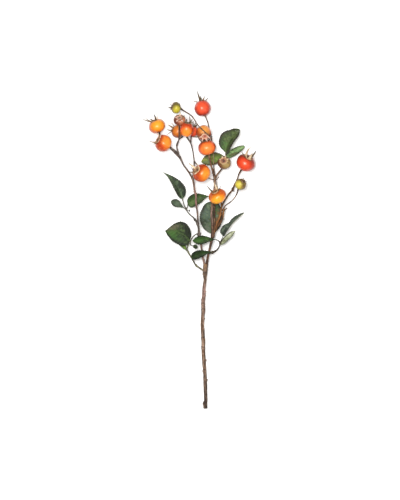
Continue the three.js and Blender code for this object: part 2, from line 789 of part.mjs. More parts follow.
// A sepal stands on the crown beside its rim, runs out from the axis and ends at its own tip
function sepalSolid(hip, crown, axis, tip, grown) {
  const end = new THREE.Vector3(...tip);
  const away = end.clone().sub(crown);
  const outward = away.clone().addScaledVector(axis, -away.dot(axis)).normalize();
  const foot = crown.clone().addScaledVector(outward, hip.crown * hip.radius * sepalFoot);
  foot.addScaledVector(axis, crownHeight / 2);
  const middle = foot.clone().lerp(end, 0.5).addScaledVector(outward, foot.distanceTo(end) * sepalBow);
  const curve = new THREE.QuadraticBezierCurve3(foot, middle, end);
  const width = sepalShare * hip.radius + 2 * grown;
  const thickness = sepalThickness + 2 * grown;
  const across = new THREE.Vector3().crossVectors(axis, outward).normalize();
  const blade = new THREE.BoxGeometry(1, width, thickness, sepalSteps, 1, 1);
  return solidOf(
    reshape(blade, (point) => {
      const share = point.x + 0.5;
      const through = new THREE.Vector3().crossVectors(curve.getTangent(share), across).normalize();
      const halfAcross = point.y * Math.max(sepalTip, 1 - share ** sepalTaper);
      const halfThrough = point.z * Math.max(sepalThinnest, 1 - share);
      return curve
        .getPoint(share)
        .addScaledVector(across, halfAcross)
        .addScaledVector(through, halfThrough);
    }),
  );
}

function calyxSolid(hip, grown) {
  const axis = new THREE.Vector3(...hip.axis).normalize();
  const crown = new THREE.Vector3(...hip.centre).addScaledVector(axis, hip.half + gap - grown);
  const rim = hip.crown * hip.radius + grown;
  const profile = crownOutline.map(([r, height]) => [r * rim, height * (crownHeight + 2 * grown)]);
  const ring = turned(profile, calyxSides, crown, axis);
  const sepals = hip.sepals.map((tip) => sepalSolid(hip, crown, axis, tip, grown));
  return sepals.reduce((whole, sepal) => whole.add(sepal), ring);
}

// A leaflet's half width at a share of its length: 1 at its fullest place
function leafOutline(leaf, share) {
  const bent = share ** (Math.log(0.5) / Math.log(leaf.fullest));
  const full = Math.sin(Math.PI * bent) ** THREE.MathUtils.lerp(...leaf.sharpness, share);
  const pinch = (leaf.waist ?? 0) * Math.exp(-(((share - waistPlace) / waistReach) ** 2));
  return full * (1 - pinch);
}

function leafletSolid(leaf, grown) {
  const foot = new THREE.Vector3(...leaf.foot);
  const along = new THREE.Vector3(...leaf.tip).sub(foot);
  const length = along.length();
  along.normalize();
  const face = new THREE.Vector3(...leaf.face);
  face.addScaledVector(along, -face.dot(along)).normalize();
  const across = new THREE.Vector3().crossVectors(face, along);
  const fold = THREE.MathUtils.degToRad(leaf.fold);
  const blade = new THREE.BoxGeometry(1, 2, leafThickness + 2 * grown, leafSteps, 2, 1);
  return solidOf(
    reshape(blade, (point) => {
      const share = point.x + 0.5;
      const half = Math.max(leafEdge, (leaf.width / 2) * leafOutline(leaf, share)) + grown;
      const sideways = point.y * half * Math.cos(fold);
      const lift = Math.abs(point.y) * half * Math.sin(fold);
      const turn = THREE.MathUtils.degToRad(leaf.twist) * (share - twistPivot);
      const bowed = 4 * share * (1 - share);
      const curled = (Math.max(0, share - curlStart) / (1 - curlStart)) ** 2;
      const rise = leaf.arch * bowed + leaf.curl * curled + point.z;
      const sidewaysTurned = sideways * Math.cos(turn) - lift * Math.sin(turn);
      const liftTurned = sideways * Math.sin(turn) + lift * Math.cos(turn);
      return foot
        .clone()
        .addScaledVector(along, share * length)
        .addScaledVector(across, sidewaysTurned + leaf.bend * bowed)
        .addScaledVector(face, liftTurned + rise);
    }),
  );
}

// Adds a piece to the sprig, cut back wherever it would come within the gap of one that is already there
const sprig = new THREE.Group();
const placed = [];

function boxesMeet(a, b) {
  return [0, 1, 2].every((i) => a.min[i] < b.max[i] && b.min[i] < a.max[i]);
}

function place(name, shape, color, roughness) {
  let solid = shape(0);
  for (const other of placed) {
    if (!boxesMeet(solid.boundingBox(), other.box)) continue;
    if (solid.intersect(other.grown).isEmpty()) continue;
    solid = largestBody(solid.subtract(other.grown));
  }
  const grown = shape(gap);
  placed.push({ grown, box: grown.boundingBox() });
  const material = new THREE.MeshStandardMaterial({ color, roughness, metalness: 0 });
  const mesh = new THREE.Mesh(geometryOf(solid), material);
  mesh.name = name;
  sprig.add(mesh);
}

for (const hip of hips) place("hip_" + hip.name, (grown) => hipSolid(hip, grown), hip.colour, hipRoughness);
for (const hip of hips) {
  place("calyx_" + hip.name, (grown) => calyxSolid(hip, grown), calyxColour, calyxRoughness);
}
for (const stem of stems) place(stem.name, (grown) => stemSolid(stem, grown), stem.colour, woodRoughness);
for (const leaf of leaflets) {
  place(leaf.name, (grown) => leafletSolid(leaf, grown), leaf.colour, leafRoughness);
}

// The origin is the middle of the sprig's footprint, on the surface it lies on
const box = new THREE.Box3().setFromObject(sprig);
const middle = box.getCenter(new THREE.Vector3());
sprig.position.set(-middle.x, -middle.y, -box.min.z);

export default sprig;
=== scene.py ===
import math
import random
import bpy
from mathutils import Matrix, Vector, noise


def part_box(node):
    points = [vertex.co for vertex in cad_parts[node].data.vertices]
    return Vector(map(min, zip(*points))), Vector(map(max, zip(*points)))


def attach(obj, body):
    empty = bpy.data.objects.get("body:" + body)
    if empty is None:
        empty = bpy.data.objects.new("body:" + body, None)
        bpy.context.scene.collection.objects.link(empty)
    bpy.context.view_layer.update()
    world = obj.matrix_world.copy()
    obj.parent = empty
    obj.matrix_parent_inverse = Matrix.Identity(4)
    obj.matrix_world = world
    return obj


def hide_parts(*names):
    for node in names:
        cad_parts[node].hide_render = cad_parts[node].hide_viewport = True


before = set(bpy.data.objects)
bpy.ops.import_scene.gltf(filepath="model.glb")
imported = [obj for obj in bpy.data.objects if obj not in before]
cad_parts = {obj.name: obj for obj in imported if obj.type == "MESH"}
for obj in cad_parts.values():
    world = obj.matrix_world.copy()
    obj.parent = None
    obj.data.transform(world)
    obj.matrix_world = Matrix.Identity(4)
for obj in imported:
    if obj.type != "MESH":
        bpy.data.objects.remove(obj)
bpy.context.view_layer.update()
print("frame loaded")

mm = 0.001
up = Vector((0, 0, 1))
drawnShift = Vector((8.4, -224.04, 0.02))  # millimetres, from the cut end of the cane to the frame's origin
fullTurn = 2 * math.pi
random.seed(12)


def drawn(point):
    return (Vector(point) + drawnShift) * mm  # a drawn point in millimetres, as a place in the frame


# general helpers for meshes

def selectOnly(*pieces):
    bpy.ops.object.select_all(action="DESELECT")
    for piece in pieces:
        piece.select_set(True)
    bpy.context.view_layer.objects.active = pieces[0]


def newest():
    return bpy.context.view_layer.objects.active


def addToScene(name, data):
    piece = bpy.data.objects.new(name, data)
    bpy.context.scene.collection.objects.link(piece)
    return piece


def inEditMode(piece, operator, **settings):
    selectOnly(piece)
    bpy.ops.object.mode_set(mode="EDIT")
    bpy.ops.mesh.select_all(action="SELECT")
    operator(**settings)
    bpy.ops.object.mode_set(mode="OBJECT")


def shapeWith(piece, kind, **settings):
    modifier = piece.modifiers.new(kind.title(), kind)
    for setting, value in settings.items():
        setattr(modifier, setting, value)
    selectOnly(piece)
    bpy.ops.object.modifier_apply(modifier=modifier.name)


def joinAs(name, pieces):
    selectOnly(*pieces)
    bpy.ops.object.join()
    whole = newest()
    whole.name = name
    whole.data.name = name
    return whole


def settle(piece):
    selectOnly(piece)
    bpy.ops.object.transform_apply(location=True, rotation=True, scale=True)  # its place goes into its mesh


def closeMesh(piece, turnOut=True):
    inEditMode(piece, bpy.ops.mesh.remove_doubles, threshold=0.001 * mm)
    if turnOut:
        inEditMode(piece, bpy.ops.mesh.normals_make_consistent, inside=False)


def smoothLine(points, steps):
    line = []
    for i in range(len(points) - 1):
        before, start = points[max(i - 1, 0)], points[i]
        end, after = points[i + 1], points[min(i + 2, len(points) - 1)]
        for step in range(steps):
            t = step / steps
            line.append([
                0.5 * (2 * b + (c - a) * t + (2 * a - 5 * b + 4 * c - d) * t**2
                       + (3 * b - a - 3 * c + d) * t**3)
                for a, b, c, d in zip(before, start, end, after)
            ])
    line.append(list(points[-1]))
    return line


def spinOutline(name, outline, turns):
    mesh = bpy.data.meshes.new(name)
    mesh.from_pydata([(r, 0, z) for r, z in outline], [(i, i + 1) for i in range(len(outline) - 1)], [])
    piece = addToScene(name, mesh)
    inEditMode(piece, bpy.ops.mesh.spin, steps=turns, angle=fullTurn, center=(0, 0, 0), axis=(0, 0, 1))
    closeMesh(piece)
    return piece


def gridPiece(name, columns, rows, pointFor):
    bpy.ops.mesh.primitive_grid_add(x_subdivisions=columns, y_subdivisions=rows, size=1, calc_uvs=True)
    piece = newest()
    piece.name = name
    for vertex in piece.data.vertices:
        vertex.co = pointFor(vertex.co.x + 0.5, vertex.co.y * 2)
    return piece


def writeAttribute(piece, name, values):
    attribute = piece.data.attributes.new(name, "FLOAT", "POINT")
    attribute.data.foreach_set("value", values)


def smoothstep(low, high, value):
    t = min(1, max(0, (value - low) / (high - low)))  # low may be the higher number
    return t * t * (3 - 2 * t)


def sitOn(piece, node):
    for face in piece.data.polygons:
        face.use_smooth = True
    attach(piece, "root")
    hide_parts(node)


# general helpers for materials

def paint(code):
    shares = [int(code[i:i + 2], 16) / 255 for i in (0, 2, 4)]
    return tuple(c / 12.92 if c < 0.04045 else ((c + 0.055) / 1.055) ** 2.4 for c in shares) + (1,)


def startMaterial(name, constants=None):
    material = bpy.data.materials.new(name)
    material.use_nodes = True
    shader = material.node_tree.nodes["Principled BSDF"]
    for socket, value in (constants or {}).items():
        shader.inputs[socket].default_value = value
    return material, material.node_tree, shader


def wireShader(shader, colour, roughness, height=None, depth=0.0):
    sockets = {"Base Color": colour, "Roughness": roughness}
    if height is not None:
        sockets["Normal"] = addNode("Bump", {"Height": height, "Distance": depth * mm}).outputs[0]
    for socket, value in sockets.items():
        shader.id_data.links.new(value, shader.inputs[socket])


def sourceNode(tree, kind, **settings):
    node = tree.nodes.new("ShaderNode" + kind)
    for setting, value in settings.items():
        setattr(node, setting, value)
    return node


def addNode(kind, inputs, **settings):
    wired = {socket: value for socket, value in inputs.items() if isinstance(value, bpy.types.NodeSocket)}
    tree = next(iter(wired.values())).id_data  # the same tree as what feeds it
    node = sourceNode(tree, kind, **settings)
    for socket, value in inputs.items():
        if socket in wired:
            tree.links.new(value, node.inputs[socket])
        else:
            node.inputs[socket].default_value = value
    return node


def objectPlace(tree, stretch=(1, 1, 1), shift=(0, 0, 0)):
    inputs = {"Vector": sourceNode(tree, "TexCoord").outputs["Object"], "Scale": stretch, "Location": shift}
    return addNode("Mapping", inputs).outputs[0]


def attributeOf(tree, name):
    return sourceNode(tree, "Attribute", attribute_name=name).outputs["Fac"]


def sidesOf(vector):
    return addNode("SeparateXYZ", {0: vector}).outputs


def noiseOf(place, scale, detail=3, rough=0.55, bend=0):
    inputs = {"Vector": place, "Scale": scale, "Detail": detail, "Roughness": rough, "Distortion": bend}
    return addNode("TexNoise", inputs).outputs[0]


def calc(operation, a, b=0.0, c=0.0):
    return addNode("Math", {0: a, 1: b, 2: c}, operation=operation).outputs[0]


def plus(a, b):
    return calc("ADD", a, b)


def times(a, b):
    return calc("MULTIPLY", a, b)


def swing(value, width):
    return calc("MULTIPLY_ADD", value, width, -width / 2)  # a noise's 0 to 1, put to either side of 0


def fade(value, low, high, toLow=0.0, toHigh=1.0):
    inputs = {"Value": value, "From Min": low, "From Max": high, "To Min": toLow, "To Max": toHigh}
    return addNode("MapRange", inputs, interpolation_type="SMOOTHSTEP").outputs[0]


def dotsOf(place, scale, inner, outer, feature="F1"):
    cells = addNode("TexVoronoi", {"Vector": place, "Scale": scale}, feature=feature)
    return fade(cells.outputs["Distance"], inner, outer, 1, 0)


def blendColour(share, first, second):
    return addNode("Mix", {0: share, 6: first, 7: second}, data_type="RGBA").outputs[2]


def tint(colour, code, share):
    return blendColour(share, colour, paint(code))


def mark(colour, code, value, low, high, most):
    return tint(colour, code, fade(value, low, high, 0, most))  # none at low, most at high


def rampOf(value, places, codes):
    node = addNode("ValToRGB", {0: value})
    elements = node.color_ramp.elements
    while len(elements) < len(codes):
        elements.new(0.5)
    for element, place, code in zip(elements, places, codes):
        element.position = place
        element.color = paint(code)
    return node.outputs[0]


# hips

hipForm = {
    "outline": [
        (0, -0.86), (0.08, -0.9), (0.2, -0.965), (0.34, -0.965), (0.5, -0.9), (0.66, -0.8), (0.81, -0.62),
        (0.92, -0.39), (0.985, -0.15), (1, 0.06), (0.975, 0.28), (0.9, 0.52), (0.79, 0.72), (0.66, 0.87),
        (0.54, 0.955), (0.45, 0.985), (0.38, 0.965), (0.3, 0.93), (0.15, 0.92), (0, 0.92),
    ],
    "steps": 3,
    "turns": 72,
    "lobes": 5, "lobeDepth": 0.012,  # depths are shares of the radius, scales are how many a metre
    "lumpScale": 130, "lumpDepth": 0.024,
    "puckers": 22, "puckerScale": 200, "puckerDepth": 0.004,  # folds round the crown
    "driedDepth": 0.02,  # how much deeper the folds of a dried hip are
    "creaseScale": 420, "creaseDepth": 0.035,
    "basin": 0.94,  # where the crown stands, of the half length
}

# facing: the way the crown looks; litPaleSide: the way the palest skin faces, mostly up towards the lamps,
# so partly the hip's own colouring and partly painted light, with blushShade on the far side of it, partly
# blush and partly painted shade; ring: the crown's radius, of the hip's; wrinkle: 0 plump to 1 dried;
# streak and fleck: how strong its streaks and scars are; paints: the skin from stalk to crown; crownPaints:
# the crown from its middle out; sepals: the finish of each and where its tip is
usualHip = {"ring": 0.36, "wrinkle": 0, "streak": 0.46, "sepalWidth": (1, 1, 1, 1, 1)}
hips = {
    "green_top": {
        "facing": (-1, 0.05, 0.12), "litPaleSide": (0.1, -0.6, 0.8), "wrinkle": 0.35, "streak": 0.5, "gloss": 0.4,
        "fleck": 0.5,
        "paints": ("655720", "686522", "72632a", "47381c"), "pale": "c0b436", "blushShade": "45381a",
        "sepals": [("dark", -51.4, 429.8, 15), ("dry", -53.2, 424.6, 12), ("dark", -51.8, 420.6, 14),
                   ("rosy", -45, 435.8, 18), ("dark", -51, 424, 19)],
    },
    "red_top": {
        "facing": (-0.15, 0.94, -0.26), "litPaleSide": (-0.1, 0.1, 1), "gloss": 0.26, "fleck": 0.12,
        "paints": ("84140f", "9c2315", "aa2b1a", "871f13"), "pale": "dc5030", "blushShade": "84140f",
        "sepals": [("dark", -11.8, 448.2, 14), ("dry", -1.4, 440.6, 20), ("dry", -19, 434.4, 10),
                   ("dry", 4, 439, 6), ("dark", -7, 441, 3)],
    },
    "yellow_left": {
        "facing": (-0.4, 0.9, 0.16), "litPaleSide": (0.1, 0.25, 1), "gloss": 0.26, "fleck": 0.15,
        "paints": ("ba430e", "ce6310", "c36313", "8d4514"), "pale": "ea9829", "blushShade": "a43d09",
        "sepals": [("dry", -86.3, 411, 16), ("dry", -88.6, 408.2, 9), ("dark", -72.8, 415.4, 20),
                   ("pale", -69.2, 417.2, 15), ("dry", -78, 409, 4)],
    },
    "orange_left": {
        "facing": (-0.8, 0.42, 0.42), "litPaleSide": (0.75, 0.2, 0.75), "ring": 0.38, "gloss": 0.27, "fleck": 0.2,
        "paints": ("c7601a", "c64419", "bd3716", "902812"), "pale": "e88e2f", "blushShade": "992912",
        "crownPaints": ("30180e", "7e5038", "b48c68"), "sepalWidth": (1.1, 1, 1.3, 1.3, 1.2),
        "sepals": [("dry", -79.6, 377, 26), ("dry", -73.9, 372.4, 33), ("rosy", -71.2, 391.4, 30),
                   ("dry", -67, 391, 35), ("rosy", -62.8, 388.6, 31)],
    },
    "brown_back": {
        "facing": (-0.05, 0.5, 0.86), "litPaleSide": (0.5, 0.1, 0.9), "ring": 0.5, "wrinkle": 0.8, "streak": 0.6,
        "gloss": 0.38, "fleck": 0.6,
        "paints": ("522214", "74301a", "6e3019", "51231a"), "pale": "b0704e", "blushShade": "4f1e14",
        "crownPaints": ("5c5a40", "c49a88", "84543e"),
        "sepals": [("pale", -35.4, 418, 33), ("dry", -29.6, 412.8, 34.4), ("rosy", -43.6, 411.6, 34.6),
                   ("rosy", -41.6, 403.4, 36), ("rosy", -31, 403.6, 36.4)],
    },
    "amber_back": {
        "facing": (-0.86, 0.48, -0.05), "litPaleSide": (-0.2, 0.2, 1), "wrinkle": 0.3, "streak": 0.45,
        "gloss": 0.32, "fleck": 0.4,
        "paints": ("6f3414", "924212", "a05218", "6d3412"), "pale": "c06e26", "blushShade": "732c0e",
        "sepals": [("dry", -53.6, 400.6, 14), ("dark", -48.8, 403.4, 9), ("dry", -54.8, 386.4, 11),
                   ("dark", -55, 394, 5.5), ("dry", -52, 392, 18)],
    },
    "red_middle": {
        "facing": (0.12, 0.95, 0.28), "litPaleSide": (0, -0.6, 0.9), "ring": 0.4, "gloss": 0.24, "fleck": 0.15,
        "paints": ("c7671c", "cd4119", "c93c1a", "872112"), "pale": "e8882b", "blushShade": "9f210e",
        "sepalWidth": (1.5, 1.2, 1.2, 1.4, 1),
        "sepals": [("dark", -22.8, 412.4, 35), ("dark", -26.4, 408, 37), ("dry", -16.4, 404.8, 34),
                   ("dark", -18.6, 408, 30), ("dark", -30, 408, 30)],
    },
    "red_hidden": {
        "facing": (0.3, 0.95, 0), "litPaleSide": (0.3, 0.1, 1), "gloss": 0.26, "fleck": 0.2,
        "paints": ("962213", "bd2c14", "b4301a", "812113"), "pale": "df5835", "blushShade": "8b1c0e",
        "sepals": [("dark", -17, 404.5, 13), ("dry", -20.5, 404, 6), ("dark", -11.5, 402, 6),
                   ("dry", -14, 403.5, 3), ("dark", -12.6, 400.6, 14)],
    },
    "orange_bowed": {
        "facing": (0.18, -0.6, 0.78), "litPaleSide": (0.2, 0.5, 0.9), "ring": 0.42, "wrinkle": 0.35,
        "streak": 0.45, "gloss": 0.3, "fleck": 0.35,
        "paints": ("994b1d", "ba5019", "aa3a16", "511a0e"), "pale": "d28c40", "blushShade": "853314",
        "crownPaints": ("80281e", "c07c66", "c8a284"),
        "sepals": [("dark", -18.6, 382.6, 29), ("rosy", 7.6, 379.6, 36), ("rosy", 2.6, 375.6, 36.4),
                   ("rosy", -4, 375.4, 36), ("rosy", -10, 380.6, 35.6)],
    },
    "orange_centre": {
        "facing": (-0.26, 0.95, 0.12), "litPaleSide": (0, -0.15, 1), "ring": 0.34, "gloss": 0.24, "fleck": 0.15,
        "paints": ("c85d18", "cb4613", "b72f16", "942a13"), "pale": "ee7e36", "blushShade": "9c2910",
        "sepals": [("dark", 9.9, 383.9, 22), ("dark", -9.6, 379.5, 27), ("dry", -10, 381, 18),
                   ("dark", -4, 383.4, 13.6), ("dry", 4.4, 385, 14.6)],
    },
    "orange_low": {
        "facing": (-0.62, 0.45, 0.62), "litPaleSide": (0.7, -0.2, 0.7), "ring": 0.38, "gloss": 0.25, "fleck": 0.2,
        "paints": ("cb6c18", "ce5717", "bf3a15", "8c2610"), "pale": "e88c26", "blushShade": "9c2e12",
        "crownPaints": ("2c1c12", "7e5c3e", "c09a70"),
        "sepals": [("pale", -24.2, 346, 31), ("dry", -23, 333.4, 34), ("pale", -17.6, 329.4, 38.4),
                   ("pale", -14, 346, 38), ("dry", -20.4, 340.6, 38.6)],
    },
    "amber_front": {
        "facing": (-0.38, 0.76, 0.5), "litPaleSide": (0.1, -0.7, 0.8), "wrinkle": 0.1, "gloss": 0.27,
        "fleck": 0.25,
        "paints": ("cb8018", "c86814", "c25219", "8e3410"), "pale": "e89f24", "blushShade": "b0440e",
        "crownPaints": ("30200f", "7e5a38", "b08a60"),
        "sepals": [("dark", 1.6, 314.8, 36), ("pale", 10.4, 320.4, 39), ("dry", 15.4, 320.4, 35),
                   ("dark", 21.9, 313.9, 40), ("dry", 5, 311.5, 43.6)],
    },
    "red_right": {
        "facing": (0.42, 0.74, 0.5), "litPaleSide": (-0.2, -0.25, 1), "ring": 0.4, "gloss": 0.22, "fleck": 0.1,
        "paints": ("8a1a12", "a22410", "9a1d10", "5e130b"), "pale": "d64424", "blushShade": "7e150d",
        "crownPaints": ("2c160e", "6e4028", "a88058"), "sepalWidth": (1.5, 1, 1.1, 1.4, 1.2),
        "sepals": [("pale", 65, 370.2, 26), ("dark", 71.6, 364.1, 20), ("dark", 50.9, 362, 27),
                   ("pale", 60.4, 366.4, 33), ("pale", 66, 360, 31)],
    },
    "olive_right": {
        "facing": (-0.1, 0.42, 0.9), "litPaleSide": (0.5, -0.2, 0.8), "ring": 0.58, "wrinkle": 1, "streak": 0.6,
        "gloss": 0.46, "fleck": 0.8,
        "paints": ("4c341c", "5e3e28", "64402a", "452918"), "pale": "9a8450", "blushShade": "58291c",
        "crownPaints": ("321c16", "8a5442", "a88c62"), "sepalWidth": (0.9, 0.9, 0.9, 0.9, 0.9),
        "sepals": [("pale", 19, 352.6, 24), ("pale", 23, 356.8, 23), ("pale", 28.6, 357.4, 22.6),
                   ("pale", 33.4, 353, 23.4), ("dry", 32.6, 345.8, 25)],
    },
    "green_right": {
        "facing": (0.48, 0.65, 0.58), "litPaleSide": (-0.62, -0.1, 0.8), "ring": 0.4, "wrinkle": 0.4,
        "streak": 0.5, "gloss": 0.42, "fleck": 0.7,
        "paints": ("74672a", "8c7a34", "6c4c2a", "38241a"), "pale": "cbbe48", "blushShade": "5c4526",
        "sepals": [("dark", 55.8, 323, 28.4), ("dark", 52, 325, 30.4), ("dry", 57.8, 320.4, 30),
                   ("dark", 54.4, 325.2, 26.8), ("dark", 55.4, 320.2, 32.4)],
    },
}


def hipSkin(name, look):
    material, tree, shader = startMaterial("hipSkin_" + name, {
        "Specular IOR Level": 0.4, "Specular Tint": (0.96, 0.62, 0.44, 1),
        "Coat Weight": 0.5, "Coat IOR": 1.3, "Coat Roughness": 0.2})
    place = objectPlace(tree)
    patches = noiseOf(place, 130, 4, 0.6, 0.6)
    grain = noiseOf(place, 900, 3, 0.6)
    rise = calc("MULTIPLY_ADD", attributeOf(tree, "rise"), 0.5, 0.5)
    drift = swing(patches, 0.34)
    colour = rampOf(plus(rise, drift), (0.04, 0.3, 0.7, 0.96), look["paints"])
    # pale skin on the side that faces up towards the lamps, blush away from it: partly the hip's own
    # colouring, partly painted light on that side and painted shade on the far side and the rims
    litPaleSide = plus(attributeOf(tree, "litPaleSide"), drift)
    colour = mark(colour, look["blushShade"], litPaleSide, 0.78, 0.05, 0.92)
    colour = mark(colour, look["pale"], litPaleSide, 0.35, 1.08, 0.92)
    mottle = fade(noiseOf(place, 380, 4, 0.7), 0.48, 0.68, 0, 0.5)
    colour = blendColour(mottle, colour, tint(colour, look["pale"], 0.6))
    # fine streaks run from the stalk to the crown
    around = [attributeOf(tree, "aroundX"), attributeOf(tree, "aroundY"), times(rise, 0.3)]
    streaks = noiseOf(addNode("CombineXYZ", dict(enumerate(around))).outputs[0], 9, 4, 0.7)
    colour = mark(colour, look["blushShade"], streaks, 0.54, 0.68, look["streak"])
    colour = mark(colour, look["pale"], streaks, 0.44, 0.32, look["streak"])
    # painted shade: a dark ring where the skin dips to the crown; then fine dots and a few corky scars
    basin = times(attributeOf(tree, "basin"), fade(patches, 0.3, 0.6, 0.55, 0.95))
    colour = tint(colour, look["paints"][-1], basin)
    colour = tint(colour, look["pale"], times(dotsOf(place, 1100, 0.1, 0.22), 0.22))
    scars = times(dotsOf(place, 480, 0.1, 0.2), fade(patches, 0.45, 0.6))
    colour = tint(colour, "6b4420", times(scars, look["fleck"]))
    roughness = fade(grain, 0.2, 0.8, look["gloss"] + 0.04, look["gloss"] + 0.18)
    height = plus(plus(times(grain, 0.4), times(scars, -0.5)), patches)
    wireShader(shader, colour, roughness, height, 0.12)
    return material


def growHip(name, look):
    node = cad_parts["hip_" + name]
    low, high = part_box("hip_" + name)
    centre = (low + high) / 2
    axis = Vector(look["facing"]).normalized()
    reach = [vertex.co - centre for vertex in node.data.vertices]
    half = (max(r.dot(axis) for r in reach) - min(r.dot(axis) for r in reach)) / 2
    radius = max((r - axis * r.dot(axis)).length for r in reach)
    outline = smoothLine([(r * radius, z * half) for r, z in hipForm["outline"]], hipForm["steps"])
    piece = spinOutline("fruit_" + name, [(max(0, r), z) for r, z in outline], hipForm["turns"])
    seed = Vector((len(name) * 3.1, half * 900, radius * 700))  # so that no two are lumpy alike
    turn = up.rotation_difference(axis).to_matrix()
    litPaleSide = Vector(look["litPaleSide"]).normalized()
    wrinkle = look["wrinkle"]
    marks = {"rise": [], "litPaleSide": [], "basin": [], "aroundX": [], "aroundY": []}
    for vertex in piece.data.vertices:
        p = vertex.co.copy()
        angle = math.atan2(p.y, p.x)
        rise = p.z / half
        out = Vector((p.x, p.y, 0)).length / radius
        shoulder = smoothstep(-0.2, 0.7, rise) * smoothstep(0.3, 0.6, out)  # where the skin is puckered
        swell = hipForm["lobeDepth"] * math.cos(hipForm["lobes"] * angle + seed.x) * out
        swell += hipForm["lumpDepth"] * noise.noise(p * hipForm["lumpScale"] + seed) * (1 + wrinkle)
        folds = math.cos(hipForm["puckers"] * angle + 3 * noise.noise(p * hipForm["puckerScale"] + seed))
        swell += (hipForm["puckerDepth"] + hipForm["driedDepth"] * wrinkle) * folds * shoulder
        swell += hipForm["creaseDepth"] * wrinkle * noise.noise(p * hipForm["creaseScale"] + seed)
        vertex.co = turn @ (p * (1 + swell)) + centre
        marks["rise"].append(rise)
        # how far each point faces the pale side, mostly up towards the lamps: this sets the painted light
        # and painted shade on the skin
        marks["litPaleSide"].append((vertex.co - centre).normalized().dot(litPaleSide))
        # the dip round the crown, which gets painted shade in the skin
        marks["basin"].append(smoothstep(0.62, 0.42, out) * smoothstep(0.5, 0.8, rise))
        marks["aroundX"].append(math.cos(angle) * out)
        marks["aroundY"].append(math.sin(angle) * out)
    for attribute, values in marks.items():
        writeAttribute(piece, attribute, values)
    piece.data.materials.append(hipSkin(name, look))
    sitOn(piece, "hip_" + name)
    return centre + axis * half * hipForm["basin"], axis, radius


# the calyx: a dry ring, the threads in its middle and five sepals

calyxForm = {
    "outline": [
        (0, -0.6), (0.8, -0.6), (1.02, -0.2), (1.08, 0.35), (0.98, 0.95), (0.84, 1.15), (0.7, 0.9),
        (0.55, 0.45), (0.25, 0.5), (0, 0.6),
    ],
    "height": 0.95,
    "steps": 2,
    "turns": 40,
    "folds": 15, "foldScale": 400, "foldDepth": 0.05,  # depths are shares of the distance from its middle
    "lumpScale": 330, "lumpDepth": 0.2,
    "crumpleScale": 1100, "crumpleDepth": 0.12,
    "waverScale": 800, "waverRise": 0.22,
    "foot": 0.3,  # where threads and sepals stand, of the height
}

standHeight = calyxForm["height"] * mm * calyxForm["foot"]

threadForm = {
    "count": 30,
    "length": 2.3, "shortest": 0.5,  # the shortest is a share of the length
    "radius": 0.13,
    "knob": 1.3,
    "spread": 0.66,
    "splay": 0.7,
    "stray": 0.22,
    "curl": 0.3,
}

sepalForm = {
    "footShare": 0.72,  # how far out on the ring a sepal stands
    "widthShare": 0.29,  # its width at its foot, of the hip's radius
    "bow": 0.12,
    "channel": 0.5,
    "twist": 0.5,
    "waver": 0.16,
    "ripple": 0.1,
    "thickness": 0.42,
    "columns": 18, "rows": 6,
}


def sepalSkin(name, codes, ridge):
    material, tree, shader = startMaterial(name)
    place = objectPlace(tree)
    spot = sourceNode(tree, "UVMap", uv_map="UVMap").outputs[0]
    blotch = noiseOf(place, 260, 4, 0.65)
    share = plus(sidesOf(spot)[0], swing(blotch, 0.5))
    colour = rampOf(share, (0.02, 0.14, 0.42, 0.72, 0.96), codes)
    waves = {"Vector": spot, "Scale": 1.7, "Distortion": 3.4, "Detail": 3.0}
    lines = addNode("TexWave", waves, bands_direction="Y").outputs[1]
    worn = fade(noiseOf(place, 480, 4, 0.7), 0.4, 0.62, 0.1, 0.55)
    colour = tint(colour, ridge, times(fade(lines, 0.4, 0.9), worn))
    colour = mark(colour, codes[3], noiseOf(place, 700), 0.48, 0.7, 0.45)
    colour = mark(colour, codes[0], noiseOf(place, 1300), 0.56, 0.7, 0.4)
    height = plus(lines, noiseOf(place, 1500, 4, 0.7))
    wireShader(shader, colour, fade(blotch, 0.2, 0.8, 0.6, 0.88), height, 0.15)
    return material


def crownSkin(name, codes):
    material, tree, shader = startMaterial(name)
    place = objectPlace(tree)
    blotch = noiseOf(place, 600, 5, 0.7)
    out = plus(attributeOf(tree, "out"), swing(noiseOf(place, 260, 3, 0.6), 1.3))
    colour = rampOf(out, (0.2, 0.6, 0.95), codes)
    colour = mark(colour, "b8946a", blotch, 0.54, 0.7, 0.5)
    colour = mark(colour, "3e2618", blotch, 0.47, 0.32, 0.75)
    height = noiseOf(place, 1600, 4, 0.7)
    wireShader(shader, colour, fade(blotch, 0.2, 0.8, 0.72, 0.92), height, 0.3)
    return material


sepalSkins = {
    "dark": sepalSkin("darkSepal", ("30231a", "523e2a", "5a4a33", "463c2a", "251f18"), "8e7650"),
    "dry": sepalSkin("drySepal", ("4c3422", "80603e", "786040", "4c3f2c", "27211a"), "b0946a"),
    "pale": sepalSkin("paleSepal", ("7a5c3c", "c8a880", "e2cca8", "b8a080", "5c4c38"), "f0e0c4"),
    "rosy": sepalSkin("rosySepal", ("7a4434", "c49480", "e0c0ae", "c49a88", "7c5a4a"), "ead2c2"),
}
dryCrown = crownSkin("dryCrown", ("1e140d", "543c28", "806042"))


def makeThread():
    bpy.ops.mesh.primitive_cone_add(vertices=5, radius1=1, radius2=0.5, depth=1, location=(0, 0, 0.5))
    thread = newest()
    settle(thread)
    inEditMode(thread, bpy.ops.mesh.bisect, plane_co=(0, 0, 0.5), plane_no=(0, 0, 1))
    return thread


